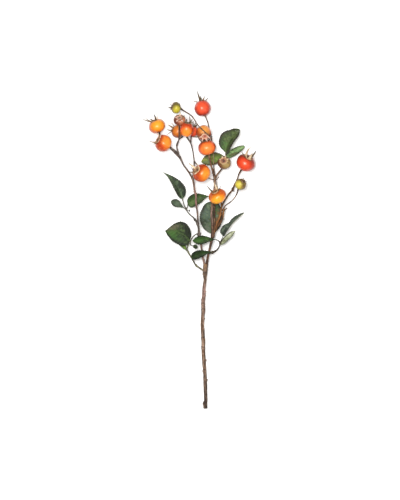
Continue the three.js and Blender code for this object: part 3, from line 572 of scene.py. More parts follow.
def growRing(name, rim, turn, crown, radius):
    high = calyxForm["height"] * mm
    outline = smoothLine([(rim * r, high * z) for r, z in calyxForm["outline"]], calyxForm["steps"])
    ring = spinOutline("crown", outline, calyxForm["turns"])
    seed = Vector((radius * 3000, len(name), 4))
    outs = []
    for vertex in ring.data.vertices:
        p = vertex.co.copy()
        out = Vector((p.x, p.y, 0)).length / rim
        angle = calyxForm["folds"] * math.atan2(p.y, p.x) + seed.x
        folds = math.cos(angle + 3 * noise.noise(p * calyxForm["foldScale"] + seed))
        swell = calyxForm["foldDepth"] * folds * out
        swell += calyxForm["lumpDepth"] * noise.noise(p * calyxForm["lumpScale"] + seed)
        swell += calyxForm["crumpleDepth"] * noise.noise(p * calyxForm["crumpleScale"] + seed)
        p *= 1 + swell
        p.z += calyxForm["waverRise"] * mm * noise.noise(p * calyxForm["waverScale"] - seed) * out
        vertex.co = turn @ p + crown
        outs.append(out)
    writeAttribute(ring, "out", outs)
    return ring


def growThread(pattern, rim, turn, crown):
    spread = math.sqrt(random.random()) * threadForm["spread"]
    angle = random.uniform(0, fullTurn)
    foot = Vector((math.cos(angle), math.sin(angle), 0)) * spread * rim
    stray = Vector((random.gauss(0, threadForm["stray"]), random.gauss(0, threadForm["stray"]), 1))
    lean = foot / rim * threadForm["splay"] + stray
    length = threadForm["length"] * mm * random.uniform(threadForm["shortest"], 1)
    aim = up.rotation_difference(lean.normalized()).to_matrix()
    curl = Vector((random.gauss(0, threadForm["curl"]), random.gauss(0, threadForm["curl"]), 0)) * length
    foot.z = standHeight
    thread = addToScene("thread", pattern.copy())
    for vertex in thread.data.vertices:
        p = vertex.co.copy()
        width = threadForm["radius"] * mm * (threadForm["knob"] if p.z > 0.9 else 1)
        bent = aim @ Vector((p.x * width, p.y * width, p.z * length)) + curl * p.z**2
        vertex.co = turn @ (bent + foot) + crown
    shade = random.uniform(0.5, 1)
    writeAttribute(thread, "out", [shade] * len(thread.data.vertices))
    return thread


def growSepal(tip, finish, widen, rim, axis, crown, radius):
    end = drawn(tip)
    away = end - crown
    outward = (away - axis * away.dot(axis)).normalized()
    foot = crown + outward * rim * sepalForm["footShare"] + axis * standHeight
    middle = foot.lerp(end, 0.45) + outward * (end - foot).length * sepalForm["bow"]
    across = axis.cross(outward).normalized()
    width = sepalForm["widthShare"] * radius * widen
    seed = random.uniform(-9, 9)
    twist = random.uniform(-sepalForm["twist"], sepalForm["twist"])

    def sepalPoint(share, out):
        point = foot * (1 - share) ** 2 + middle * 2 * share * (1 - share) + end * share**2
        tangent = ((middle - foot) * (1 - share) + (end - middle) * share).normalized()
        roll = Matrix.Rotation(twist * share, 3, tangent)
        side = roll @ across
        raised = roll @ tangent.cross(across).normalized()
        # widest just past its foot, drawn out to a narrow tip
        taper = (1 - share**1.9) * (0.7 + 0.35 * math.exp(-((share - 0.12) / 0.12) ** 2)) + 0.12
        half = width / 2 * taper * (1 + sepalForm["waver"] * noise.noise(Vector((share * 6, out, seed))))
        ripple = sepalForm["ripple"] * mm * noise.noise(Vector((share * 7, out * 2, seed)))
        return point + side * out * half - raised * (half * sepalForm["channel"] * out**2 + ripple)

    sepal = gridPiece("sepal", sepalForm["columns"], sepalForm["rows"], sepalPoint)
    shapeWith(sepal, "SOLIDIFY", thickness=sepalForm["thickness"] * mm, offset=0)
    closeMesh(sepal, turnOut=False)  # its faces already look out
    shapeWith(sepal, "SUBSURF", levels=1, render_levels=1)
    sepal.data.materials.append(sepalSkins[finish])
    return sepal


def growCalyx(name, look, crown, axis, radius):
    turn = up.rotation_difference(axis).to_matrix()
    rim = look["ring"] * radius
    crownPaint = crownSkin("crown_" + name, look["crownPaints"]) if "crownPaints" in look else dryCrown
    parts = [growRing(name, rim, turn, crown, radius)]
    parts += [growThread(threadPattern.data, rim, turn, crown) for i in range(threadForm["count"])]
    for part in parts:
        part.data.materials.append(crownPaint)
    for (finish, *tip), widen in zip(look["sepals"], look["sepalWidth"]):
        parts.append(growSepal(tip, finish, widen, rim, axis, crown, radius))
    sitOn(joinAs("sepals_" + name, parts), "calyx_" + name)


threadPattern = makeThread()  # copied for each thread
for hipName, hipLook in hips.items():
    hipLook = usualHip | hipLook
    growCalyx(hipName, hipLook, *growHip(hipName, hipLook))
bpy.data.objects.remove(threadPattern)
print("hips and sepals made")


# wood

woodForm = {
    "smoothing": 4,
    "lumpSize": 5.0, "lumpDepth": 0.5,
    "barkSize": 1.4, "barkDepth": 0.22,
    "knotLength": 1.25, "knotSwell": 1.02,
    "spikeTip": 0.12,
    "growthRings": 11000,  # in the sawn end, where the next three fade in
    "pith": (0.7, 0.4), "underBark": (1.9, 2.4), "cutDepth": (1.2, 0.6),
    "ringAbove": 1.6, "ringHeight": (0.5, 1.6),  # the dark ring just above a knot of the cane
}

# paints: dark furrow, middle, pale ridge and a tint in patches; bands: the colour at some distances up the
# drawing, and lowBands the same for strands that lie below lowFrom: their own colour with painted shade
# where they lie under the upper strands; routes: x, y, z and radius along a stem;
# knots: x, y, z and radius; prickles: foot, tip and foot radius
usualStem = {"finish": "green_bark", "voxel": 0.3, "knots": [], "prickles": []}
stems = {
    "cane": {
        "finish": "bark", "voxel": 0.4, "lumps": 0.9, "paints": ("241b15", "64503e", "b09480", "745448"),
        "bands": [(0, "281c14"), (10, "36261c"), (20, "261b14"), (36, "3c2e23"), (44, "5e4c3e"),
                  (60, "5e4632"), (96, "644830"), (120, "765840"), (136, "60463a"), (150, "88685c"),
                  (164, "b08a82"), (180, "7a6450"), (192, "665040"), (206, "8a6a40")],
        "routes": [
            [(0, 0, 3, 3), (-0.4, 6, 3, 3.1), (0.3, 11, 2.8, 2.6), (0, 23, 3, 2.6), (-0.4, 38, 3.3, 2.8),
             (-1.1, 53, 3.6, 2.6), (-2.4, 69, 4.1, 2.8), (-3.1, 84, 4.7, 2.6), (-3.1, 96, 5.2, 2.8),
             (-4.4, 116, 6.3, 2.5), (-3.9, 130, 7.2, 2.6), (-3.2, 139, 7.8, 2.9), (-3.5, 148, 8.5, 2.8),
             (-2.5, 159, 9.3, 2.6), (-2.1, 170, 10.2, 2.4), (-0.7, 181, 11.1, 2.3), (-0.7, 190, 11.9, 3.2),
             (-0.3, 196, 12.4, 3.5), (0, 204, 13, 3.4)],
        ],
        "knots": [(-0.9, 6.5, 3.1, 3.1), (-1.4, 53, 3.8, 2.9), (-3.2, 85, 4.9, 2.9), (-3.3, 99, 5.4, 2.9),
                  (-3.2, 139, 7.8, 3.1), (-3.4, 147, 8.4, 3), (-2.2, 160, 9.4, 2.8),
                  (-0.8, 190, 11.9, 3.4)],
        "prickles": [((1, 40, 3.3), (4.6, 40.6, 3.6), 1.1), ((0.4, 68, 4), (2.6, 69.2, 5), 1.1),
                     ((-4.5, 87, 5), (-7.3, 87.4, 5.6), 1.1), ((-4.6, 100, 5.5), (-7.2, 100.6, 6.2), 1.1),
                     ((-2.8, 126, 7), (0.6, 126.8, 7.4), 1.1),
                     ((-4.8, 153.4, 8.8), (-7.2, 153.8, 9.4), 1.1),
                     ((-0.8, 164.6, 9.8), (1.9, 165.4, 10.6), 1.1), ((-2, 112, 8), (-2.4, 113, 10.4), 1)],
    },
    "branch_left": {
        "finish": "bark", "voxel": 0.34, "lumps": 0.6, "paints": ("2c2420", "5a4a40", "8c8074", "66504a"),
        "bands": [(200, "7a5240"), (226, "63433a"), (240, "3c332c"), (252, "222220"), (264, "302d2a"),
                  (274, "6a4e46"), (290, "926a60"), (310, "885f50"), (328, "5a442f"), (345, "433831"),
                  (372, "322a26")],
        "routes": [
            [(-1.2, 199, 12.9, 1.9), (-2.4, 208, 13.6, 1.7), (-4.6, 216, 14.6, 1.5), (-5.4, 224, 15.3, 1.5),
             (-6.3, 231, 16, 1.5), (-8.8, 243, 17.3, 2.1), (-9.2, 248, 17.7, 2), (-9.9, 256, 18, 1.6),
             (-11, 261, 18, 1.9), (-10.9, 268, 17.9, 1.4), (-11.8, 279, 17.6, 1.4), (-13.3, 289, 17, 1.4),
             (-13.5, 300, 16, 1.4), (-15.2, 307, 15.2, 1.5), (-17.5, 321, 13.5, 1.5), (-20.4, 328, 13, 1.4),
             (-25.5, 336, 12.5, 1.2), (-31.2, 344, 12.5, 1.2), (-36, 354, 13, 1.6), (-42.7, 363, 16, 1.3),
             (-47, 366.2, 17.2, 1.3), (-51.6, 369.9, 17.3, 1.5)],
            [(-35.6, 353, 13, 1.3), (-45, 362.4, 8.4, 1), (-54, 372, 5.4, 1), (-61, 379.6, 5.6, 1),
             (-64.4, 385, 7.6, 1.1), (-65, 389.8, 10.4, 1.3)],
            [(-35.8, 353.4, 13, 1.3), (-39, 362.8, 13, 1.2), (-40.6, 371, 12, 1.1),
             (-38.6, 377.4, 10.8, 0.9), (-34.8, 381.6, 10.4, 0.9), (-31.8, 384.4, 10.2, 0.9),
             (-31.8, 387.2, 10.3, 1.2)],
            [(-40.6, 370.6, 12, 1.1), (-38.4, 376, 15.4, 1), (-37.3, 381.6, 19.6, 0.9),
             (-37.2, 387, 21.6, 0.9), (-37.2, 393, 21.8, 0.9), (-37, 399, 22, 1),
             (-36.4, 402.8, 23.4, 1.3)],
            [(-17.2, 321, 13.4, 1.3), (-17.4, 333, 13, 1.1), (-15.8, 345, 15.4, 1.1),
             (-16.9, 356.4, 18.4, 1), (-18.2, 365, 21, 1), (-20.4, 373, 23.6, 1.1), (-24, 379.4, 25.4, 1.3),
             (-27.4, 384.6, 26.4, 1.5)],
            [(-15.6, 348, 16, 1), (-11.4, 343.6, 15, 0.8), (-8.4, 340.6, 13, 0.6)],
            [(-17.6, 362, 20, 0.9), (-19.6, 370, 15.4, 0.9), (-20.6, 377, 10.4, 0.9),
             (-20.1, 384.8, 8.6, 1.1)],
        ],
        "knots": [(-9.3, 245.6, 17.5, 2.7), (-11, 260.6, 18, 2.3), (-15.2, 306, 15.3, 1.9),
                  (-35.8, 354, 13, 1.9), (-40.5, 371.4, 12, 1.5), (-15.7, 348, 16, 1.5)],
        "prickles": [((-8.2, 246, 18), (-4.6, 248.2, 18.6), 0.9),
                     ((-13.6, 303, 16), (-11, 304.4, 16.8), 0.8)],
    },
    "branch_middle": {
        "finish": "bark", "voxel": 0.34, "lumps": 0.6, "paints": ("20140e", "5e3e28", "9c7c60", "74503c"),
        "bands": [(200, "70503c"), (222, "4c3528"), (238, "302018"), (256, "5c4032"), (270, "9a8076"),
                  (286, "86695a"), (300, "6e4c38"), (310, "b49a84"), (319, "a88c74"), (326, "382820"),
                  (338, "5e3e26"), (344, "583622"), (358, "5a3a24"), (376, "4a3c30"), (420, "4c4034")],
        "lowFrom": 15.8,
        "lowBands": [(240, "3a2012"), (256, "4a2a18"), (272, "1c1612"), (292, "16120f"), (310, "4a3626"),
                     (326, "2c201a"), (343, "3a2e26"), (348, "98946c"), (362, "8c8a68"), (380, "4c443a"),
                     (420, "544a40")],
        "routes": [
            [(1.6, 199, 12.9, 2), (2.4, 208, 13.6, 1.9), (3.8, 216, 14.4, 1.8), (6.2, 226, 15.5, 1.8),
             (8.2, 235, 16.5, 2), (10, 244, 17.4, 2.4), (9.6, 258, 18.6, 1.7), (8.7, 271, 18.8, 1.7),
             (9.2, 285, 17.4, 1.6), (11.1, 300, 15.4, 1.5), (13.2, 319, 14.6, 1.6), (12.6, 325, 14.8, 1.6),
             (10.6, 334, 15.4, 1.4), (7.6, 344, 16.2, 1.2), (6.8, 350, 16.8, 1.3), (4.7, 358.8, 18.8, 1.6)],
            [(11, 243, 17, 1.7), (12.4, 256, 14.8, 1.4), (12.4, 272, 13.6, 1.4), (12.8, 289, 13.2, 1.2),
             (13.3, 304, 13.4, 1.2), (13.4, 320, 14.4, 1.3), (12.8, 329, 13.6, 1.2), (12, 337, 11.4, 1),
             (11.4, 347, 8.6, 0.7), (11.2, 357, 7, 0.7), (10.4, 366, 5.6, 0.7), (9.4, 374, 5.2, 0.8),
             (8.2, 383, 6, 0.8), (6.2, 391.4, 7.4, 0.8), (4.6, 398, 8.6, 0.8), (2.8, 405, 9.8, 0.9),
             (0.4, 410.6, 12, 1), (-1.8, 414.8, 13.2, 1.2)],
            [(13, 324, 14.6, 1.3), (18.4, 332.6, 13.2, 1.2), (22.6, 337.6, 11, 1.1),
             (25.8, 341.2, 8.8, 1.1), (27, 343.6, 9, 1.1)],
            [(12.8, 322.6, 14.8, 1), (8.4, 323.4, 15.6, 0.7), (4.4, 325.2, 16.8, 0.8),
             (0.6, 327.4, 19.2, 1.1)],
            [(9.7, 371.6, 5.3, 0.9), (9.8, 375, 12, 0.9), (8.8, 378.4, 22, 0.8), (6.9, 381.8, 31, 0.8),
             (3.6, 385, 36.6, 0.8), (-1, 389.4, 38.4, 0.8), (-7.2, 395.2, 38, 0.8), (-11.6, 400.4, 33, 0.8),
             (-15.6, 407.2, 26, 0.8), (-20, 412.8, 20, 0.9), (-26, 417, 16, 0.9), (-31.4, 420.4, 13.4, 1.1),
             (-36, 424, 12.6, 1.4)],
            [(8.4, 386.4, 6.4, 0.8), (4.4, 391.6, 7, 0.8), (-0.4, 395.8, 9.4, 0.8), (-3.4, 398, 13, 0.8),
             (-4.2, 398, 16.8, 1), (-4, 395.6, 20.6, 1.2)],
            [(13.6, 321, 14.6, 0.8), (17, 324.6, 13, 0.6), (19.4, 327.2, 11.8, 0.5)],
            [(9.8, 243, 16.6, 1.2), (8.8, 245.4, 14.6, 1), (8.1, 247.4, 13.3, 0.9)],
        ],
        "knots": [(10.2, 243.6, 17.3, 3), (13, 322.4, 14.7, 2.1), (9.7, 371.8, 5.4, 1.4)],
        "prickles": [((7.6, 229, 16), (4.8, 230.6, 16.8), 0.9), ((9.8, 253, 18.6), (7, 254.6, 19.6), 0.9),
                     ((11, 331, 15.4), (8.4, 332.4, 15.2), 0.8)],
    },
    "branch_right": {
        "finish": "bark", "voxel": 0.34, "lumps": 1.1, "paints": ("24170c", "5e4026", "946638", "523620"),
        "bands": [(244, "3e2818"), (254, "563820"), (262, "7e4e28"), (280, "825028"), (288, "5e422c"),
                  (298, "383028"), (340, "282420")],
        "lowFrom": 18.2,
        "lowBands": [(244, "362618"), (262, "402c1e"), (276, "42362a"), (290, "3c342c"), (304, "241f1c"),
                     (340, "242420")],
        "routes": [
            [(11, 244, 17.4, 1.6), (13.8, 251.4, 17.2, 1.6), (17.4, 257.6, 16.8, 1.5),
             (21.9, 263.6, 16.2, 1.5), (24.2, 268.8, 15.8, 1.4), (24.8, 274, 15.6, 1.4),
             (25.4, 279.6, 15.6, 1.3), (26.4, 284.2, 15.8, 1), (29.2, 287, 16.4, 0.8), (33.6, 290, 17, 0.8),
             (38.8, 294.6, 17.6, 0.8), (43, 300.6, 18, 0.9), (45.4, 306.6, 18.4, 1.2),
             (46.4, 311.6, 19.6, 1.3)],
            [(12.8, 249, 17.8, 1.4), (13.9, 255, 18.6, 1.5), (16.2, 261.6, 19, 1.5), (19, 268, 18.8, 1.4),
             (20.9, 273.5, 18, 1.4), (21.9, 279.6, 16.8, 1.3), (23.8, 286.6, 15, 1.2),
             (27, 293.4, 13.4, 1.2), (31.4, 300.2, 12.6, 1.1), (37.6, 308.4, 11.6, 1.4),
             (41.3, 316, 11, 1.4), (44.8, 323.6, 10.4, 1.1), (47, 330.6, 9.4, 1.1), (49.8, 335.6, 8.2, 1.3),
             (52.7, 339.4, 8.8, 1.5)],
            [(22, 279.8, 16.8, 1.2), (22.6, 284, 17.8, 1.1), (22.4, 288, 20, 1.1), (21.6, 291, 22.6, 1.1),
             (20.1, 293, 26, 1.4)],
            [(25.4, 279, 15.7, 0.9), (28, 280.8, 15.8, 0.7), (30.6, 282.6, 15.6, 0.5)],
            [(21.2, 275, 17.8, 0.9), (23.2, 272.6, 16.8, 0.8), (24.6, 270.8, 16, 0.9)],
        ],
        "knots": [(15, 253.6, 17.6, 2.1), (25.3, 279.2, 15.7, 1.9), (38.4, 309.6, 11.5, 2),
                  (16.4, 262, 19, 1.9)],
        "prickles": [((38.6, 307, 11.6), (41.4, 306, 11.4), 0.9),
                     ((24, 268, 15.8), (27, 266.8, 15.6), 0.9)],
    },
    "leaf_stalk_cane": {
        "lumps": 0.4, "paints": ("2a281c", "525038", "767452", "544838"),
        "bands": [(190, "64543e"), (208, "4c4836"), (236, "545a3c")],
        "routes": [
            [(-1.6, 193.4, 12.4, 1.3), (-8.6, 198.6, 11.4, 1.2), (-13.2, 201.8, 10.6, 1.1),
             (-16.6, 207, 10, 1), (-20.6, 214, 9.6, 0.9), (-24.3, 220.4, 9.6, 1.1), (-26, 225, 10, 1),
             (-24.6, 230.6, 10.8, 0.9), (-21.9, 237.5, 11.8, 0.9)],
            [(-18.4, 210.2, 9.8, 0.8), (-18.8, 211.8, 11, 0.7), (-19.5, 213.2, 12.1, 0.7)],
            [(-25, 221.8, 9.6, 0.8), (-27, 223, 9, 0.7)],
        ],
        "knots": [(-12.8, 201.6, 10.7, 1.6), (-24.4, 220.8, 9.6, 1.5)],
    },
    "leaf_stalk_knot": {
        "lumps": 0.3, "paints": ("201e16", "403c2a", "625f44", "443a2c"),
        "bands": [(228, "33362a"), (247, "443f32")],
        "routes": [
            [(-9.4, 246.6, 17.6, 1), (-13.8, 245.6, 17.4, 0.9), (-19.2, 239.6, 16.4, 0.8),
             (-21.4, 234.6, 15.4, 0.8), (-21, 231, 14.8, 0.8), (-17.4, 229.3, 14.1, 0.5)],
        ],
    },
    "leaf_stalk_left": {
        "lumps": 0.4, "paints": ("221e1a", "484238", "6c6656", "4c4034"),
        "bands": [(258, "302d2a"), (272, "54504c"), (296, "383a2c")],
        "routes": [
            [(-11, 260.4, 18, 1.3), (-14.8, 266.2, 17, 1.4), (-17.6, 269.8, 16.2, 1),
             (-21.9, 273.4, 15, 0.9), (-25.5, 277.8, 13.8, 0.9), (-27.4, 281.4, 13.2, 1),
             (-29.8, 286.4, 12.4, 0.8), (-32.6, 295.8, 11, 0.8)],
            [(-26.6, 280, 13.4, 0.8), (-29, 282, 13, 0.8)],
            [(-27, 280.6, 13.2, 0.8), (-25.6, 284, 12.6, 0.7), (-24.9, 288.4, 11.8, 0.7)],
            [(-26.4, 279.4, 13.6, 0.5), (-24.4, 279.4, 14, 0.4), (-22.8, 279, 14.2, 0.4)],
        ],
        "knots": [(-15, 266.4, 17, 1.7), (-27.2, 281, 13.3, 1.4), (-22.6, 279, 14.2, 1.1)],
    },
    "leaf_stalk_low": {
        "lumps": 0.6, "paints": ("1c1812", "3c3228", "5e523e", "403426"),
        "bands": [(219, "2e241c"), (243, "3a3a28")],
        "routes": [
            [(5.6, 219.4, 15, 1.6), (9.6, 220.2, 14.8, 1.7), (13.6, 221.8, 14.4, 1.4),
             (17.6, 225.4, 14, 1.1), (19.8, 229.6, 13.8, 1), (20.8, 233, 13.6, 1.1), (22.8, 238.6, 13, 0.8),
             (24.4, 243, 12.8, 0.6)],
            [(20.4, 232, 13.8, 1), (19.8, 235, 16, 1.1), (17.6, 237, 18.4, 0.9), (14.4, 238.2, 19.6, 0.6)],
            [(12, 221.2, 14.8, 0.9), (13.8, 223.8, 16.4, 0.5)],
        ],
        "knots": [(9.8, 220.3, 14.8, 2), (20.6, 232.6, 13.7, 1.5)],
    },
    "leaf_stalk_back": {
        "lumps": 0.3, "paints": ("2a261a", "4e422e", "6e6248", "524634"),
        "bands": [(317, "403424"), (360, "504a30")],
        "routes": [
            [(13.4, 317, 12.4, 1), (14.6, 325.6, 8.6, 0.9), (19.6, 333.5, 4.6, 0.8),
             (24.8, 340.5, 3.2, 0.8), (27.4, 348, 3.2, 0.8), (28.4, 355, 3.6, 0.8), (28.6, 361, 4.8, 0.8)],
            [(28.2, 354, 3.6, 0.7), (30.6, 356, 4.2, 0.7)],
            [(28.2, 354.6, 3.6, 0.7), (26, 356.4, 3.2, 0.7)],
        ],
        "knots": [(28.2, 354.2, 3.6, 1.2)],
    },
}


def bandsOf(height, patches, bands):
    heights, codes = zip(*bands)
    bottom, top = heights[0], heights[-1]
    inputs = {"Value": height, "From Min": drawn((0, bottom, 0)).y, "From Max": drawn((0, top, 0)).y}
    rise = addNode("MapRange", inputs).outputs[0]
    rise = plus(rise, swing(patches, 0.08))
    return rampOf(rise, [(y - bottom) / (top - bottom) for y in heights], codes)


def sawnEnd(tree, height, colour):
    # pale wood with rings round a brown pith
    reaches = {key: [reach * mm for reach in woodForm[key]] for key in ("pith", "underBark", "cutDepth")}
    cut = drawn((0, 0, 3))
    fromPith = objectPlace(tree, (1, 0, 1), (-cut.x, 0, -cut.z))
    distance = addNode("VectorMath", {0: fromPith}, operation="LENGTH").outputs["Value"]
    rings = calc("SINE", times(distance, woodForm["growthRings"]))
    wood = blendColour(fade(rings, -1, 1, 0.1, 0.6), paint("c9ab7c"), paint("a08050"))
    wood = mark(wood, "6e4c2c", distance, *reaches["pith"], 1)
    wood = mark(wood, "4c3826", distance, *reaches["underBark"], 1)
    facing = sidesOf(sourceNode(tree, "NewGeometry").outputs["Normal"])[1]
    atEnd = fade(height, *[cut.y + reach for reach in reaches["cutDepth"]])
    return blendColour(times(atEnd, fade(facing, -0.6, -0.8)), colour, wood)


def barkSkin(name, look):
    furrow, middle, ridge, tinge = look["paints"]
    material, tree, shader = startMaterial("bark_" + name, {"Specular IOR Level": 0.25})
    place = objectPlace(tree)
    grain = noiseOf(objectPlace(tree, (1, 0.16, 1)), 900, 5, 0.65, 0.4)  # it runs up the sprig
    patches = noiseOf(place, 110, 4, 0.6)
    scales = noiseOf(place, 700, 4, 0.7)
    colour = rampOf(grain, (0.3, 0.5, 0.72), (furrow, middle, ridge))
    colour = mark(colour, tinge, patches, 0.45, 0.62, 0.7)
    height, level = sidesOf(place)[1:]
    bands = bandsOf(height, patches, look["bands"])
    # strands lying below lowFrom take the lowBands: their own colour, with painted shade where they lie
    # under the upper strands
    if "lowBands" in look:
        under = fade(level, (look["lowFrom"] + 0.8) * mm, (look["lowFrom"] - 0.8) * mm)
        bands = blendColour(under, bands, bandsOf(height, patches, look["lowBands"]))
    colour = blendColour(0.68, colour, bands)
    # mottling and long streaks, drawn out along the stem
    mottle = noiseOf(objectPlace(tree, (1, 0.45, 1)), 330, 4, 0.7, 0.5)
    colour = mark(colour, furrow, mottle, 0.5, 0.36, 0.75)
    colour = mark(colour, ridge, mottle, 0.54, 0.68, 0.55)
    streaks = noiseOf(objectPlace(tree, (1, 0.07, 1)), 460, 3, 0.6, 0.3)
    colour = mark(colour, furrow, streaks, 0.49, 0.37, 0.7)
    colour = mark(colour, ridge, streaks, 0.54, 0.66, 0.6)
    if name == "cane":
        near, far = woodForm["ringHeight"]
        for knot in look["knots"]:
            ringPlace = drawn(knot[:3]).y + woodForm["ringAbove"] * mm
            away = calc("ABSOLUTE", calc("SUBTRACT", height, ringPlace))
            ring = fade(away, near * mm, far * mm, 0.75, 0)
            colour = tint(colour, furrow, times(ring, fade(scales, 0.3, 0.6)))
    flakes = fade(scales, 0.56, 0.7, 0, 0.5)
    colour = blendColour(flakes, colour, tint(colour, ridge, 0.6))
    pits = dotsOf(place, 620, 0.08, 0.2)
    colour = tint(colour, furrow, times(pits, 0.6))
    colour = mark(colour, furrow, grain, 0.42, 0.3, 0.7)
    if name == "cane":
        colour = sawnEnd(tree, height, colour)
    relief = plus(grain, times(scales, 0.5))
    relief = calc("SUBTRACT", relief, times(pits, 0.4))
    wireShader(shader, colour, fade(scales, 0.3, 0.7, 0.62, 0.88), relief, 0.6)
    return material


def cloudTexture(name, size):
    texture = bpy.data.textures.new(name, "CLOUDS")
    texture.noise_scale = size * mm
    texture.noise_depth = 2
    return texture


reliefs = [(cloudTexture("stemLumps", woodForm["lumpSize"]), woodForm["lumpDepth"]),
           (cloudTexture("barkFlakes", woodForm["barkSize"]), woodForm["barkDepth"])]


def stemCurve(route):
    curve = bpy.data.curves.new("stem", "CURVE")
    curve.dimensions = "3D"
    curve.bevel_depth = mm
    curve.bevel_resolution = 4
    curve.resolution_u = 8
    curve.use_fill_caps = True
    line = curve.splines.new("BEZIER")
    line.bezier_points.add(len(route) - 1)
    for point, (x, y, z, radius) in zip(line.bezier_points, route):
        point.co = drawn((x, y, z))
        point.radius = radius
        point.handle_left_type = point.handle_right_type = "AUTO"
    return addToScene("stem", curve)


def makeKnot(x, y, z, radius):
    size = radius * woodForm["knotSwell"] * mm
    bpy.ops.mesh.primitive_uv_sphere_add(segments=16, ring_count=10, radius=size, location=drawn((x, y, z)))
    knot = newest()
    knot.scale = (1, woodForm["knotLength"], 1)
    settle(knot)
    return knot


def makePrickle(foot, tip, radius):
    start, end = drawn(foot), drawn(tip)
    bpy.ops.mesh.primitive_cone_add(vertices=12, radius1=radius * mm, radius2=woodForm["spikeTip"] * mm,
                                    depth=(end - start).length, location=(start + end) / 2)
    spike = newest()
    spike.rotation_mode = "QUATERNION"
    spike.rotation_quaternion = up.rotation_difference(end - start)
    settle(spike)
    return spike


def keepLargest(piece):
    name = piece.name
    inEditMode(piece, bpy.ops.mesh.separate, type="LOOSE")
    *crumbs, whole = sorted(bpy.context.selected_objects, key=lambda body: len(body.data.vertices))
    for crumb in crumbs:
        bpy.data.objects.remove(crumb)
    whole.name = name
    return whole


def growStem(name, look):
    parts = [stemCurve(route) for route in look["routes"]]
    selectOnly(*parts)
    bpy.ops.object.convert(target="MESH")
    parts += [makeKnot(*knot) for knot in look["knots"]]
    parts += [makePrickle(*prickle) for prickle in look["prickles"]]
    wood = joinAs("wood_" + name, parts)
    shapeWith(wood, "REMESH", mode="VOXEL", voxel_size=look["voxel"] * mm)
    wood = keepLargest(wood)
    shapeWith(wood, "SMOOTH", factor=0.5, iterations=woodForm["smoothing"])
    for texture, depth in reliefs:
        shapeWith(wood, "DISPLACE", texture=texture, strength=depth * look["lumps"] * mm, mid_level=0.45,
                  texture_coords="LOCAL")
    wood.data.materials.clear()
    wood.data.materials.append(barkSkin(name, look))
    sitOn(wood, name)


for stemName, stemLook in stems.items():
    growStem(stemName, usualStem | stemLook)
print("wood made")


# leaflets

leafForm = {
    "rows": 26,
    "toothEvery": 2.7,
    "stepsPerTooth": 7,
    "toothDepth": 1.15,
    "fewestTeeth": 5,
    "fullWidth": 18,  # a leaflet narrower than this has shallower teeth and relief
    "margin": 0.5,  # how unevenly the margin runs
    "footWidth": 0.4, "tipWidth": 0.06,  # half the least width at either end
    "groove": 0.35, "grooveWidth": 0.07,
    "veins": 8,
    "veinSlant": 0.2,
    "veinDepth": 0.2, "veinWidth": 0.1,
    "quilt": 0.3,
    "wave": 0.9,
    "sag": 0.5,
    "thickness": 0.34,
}

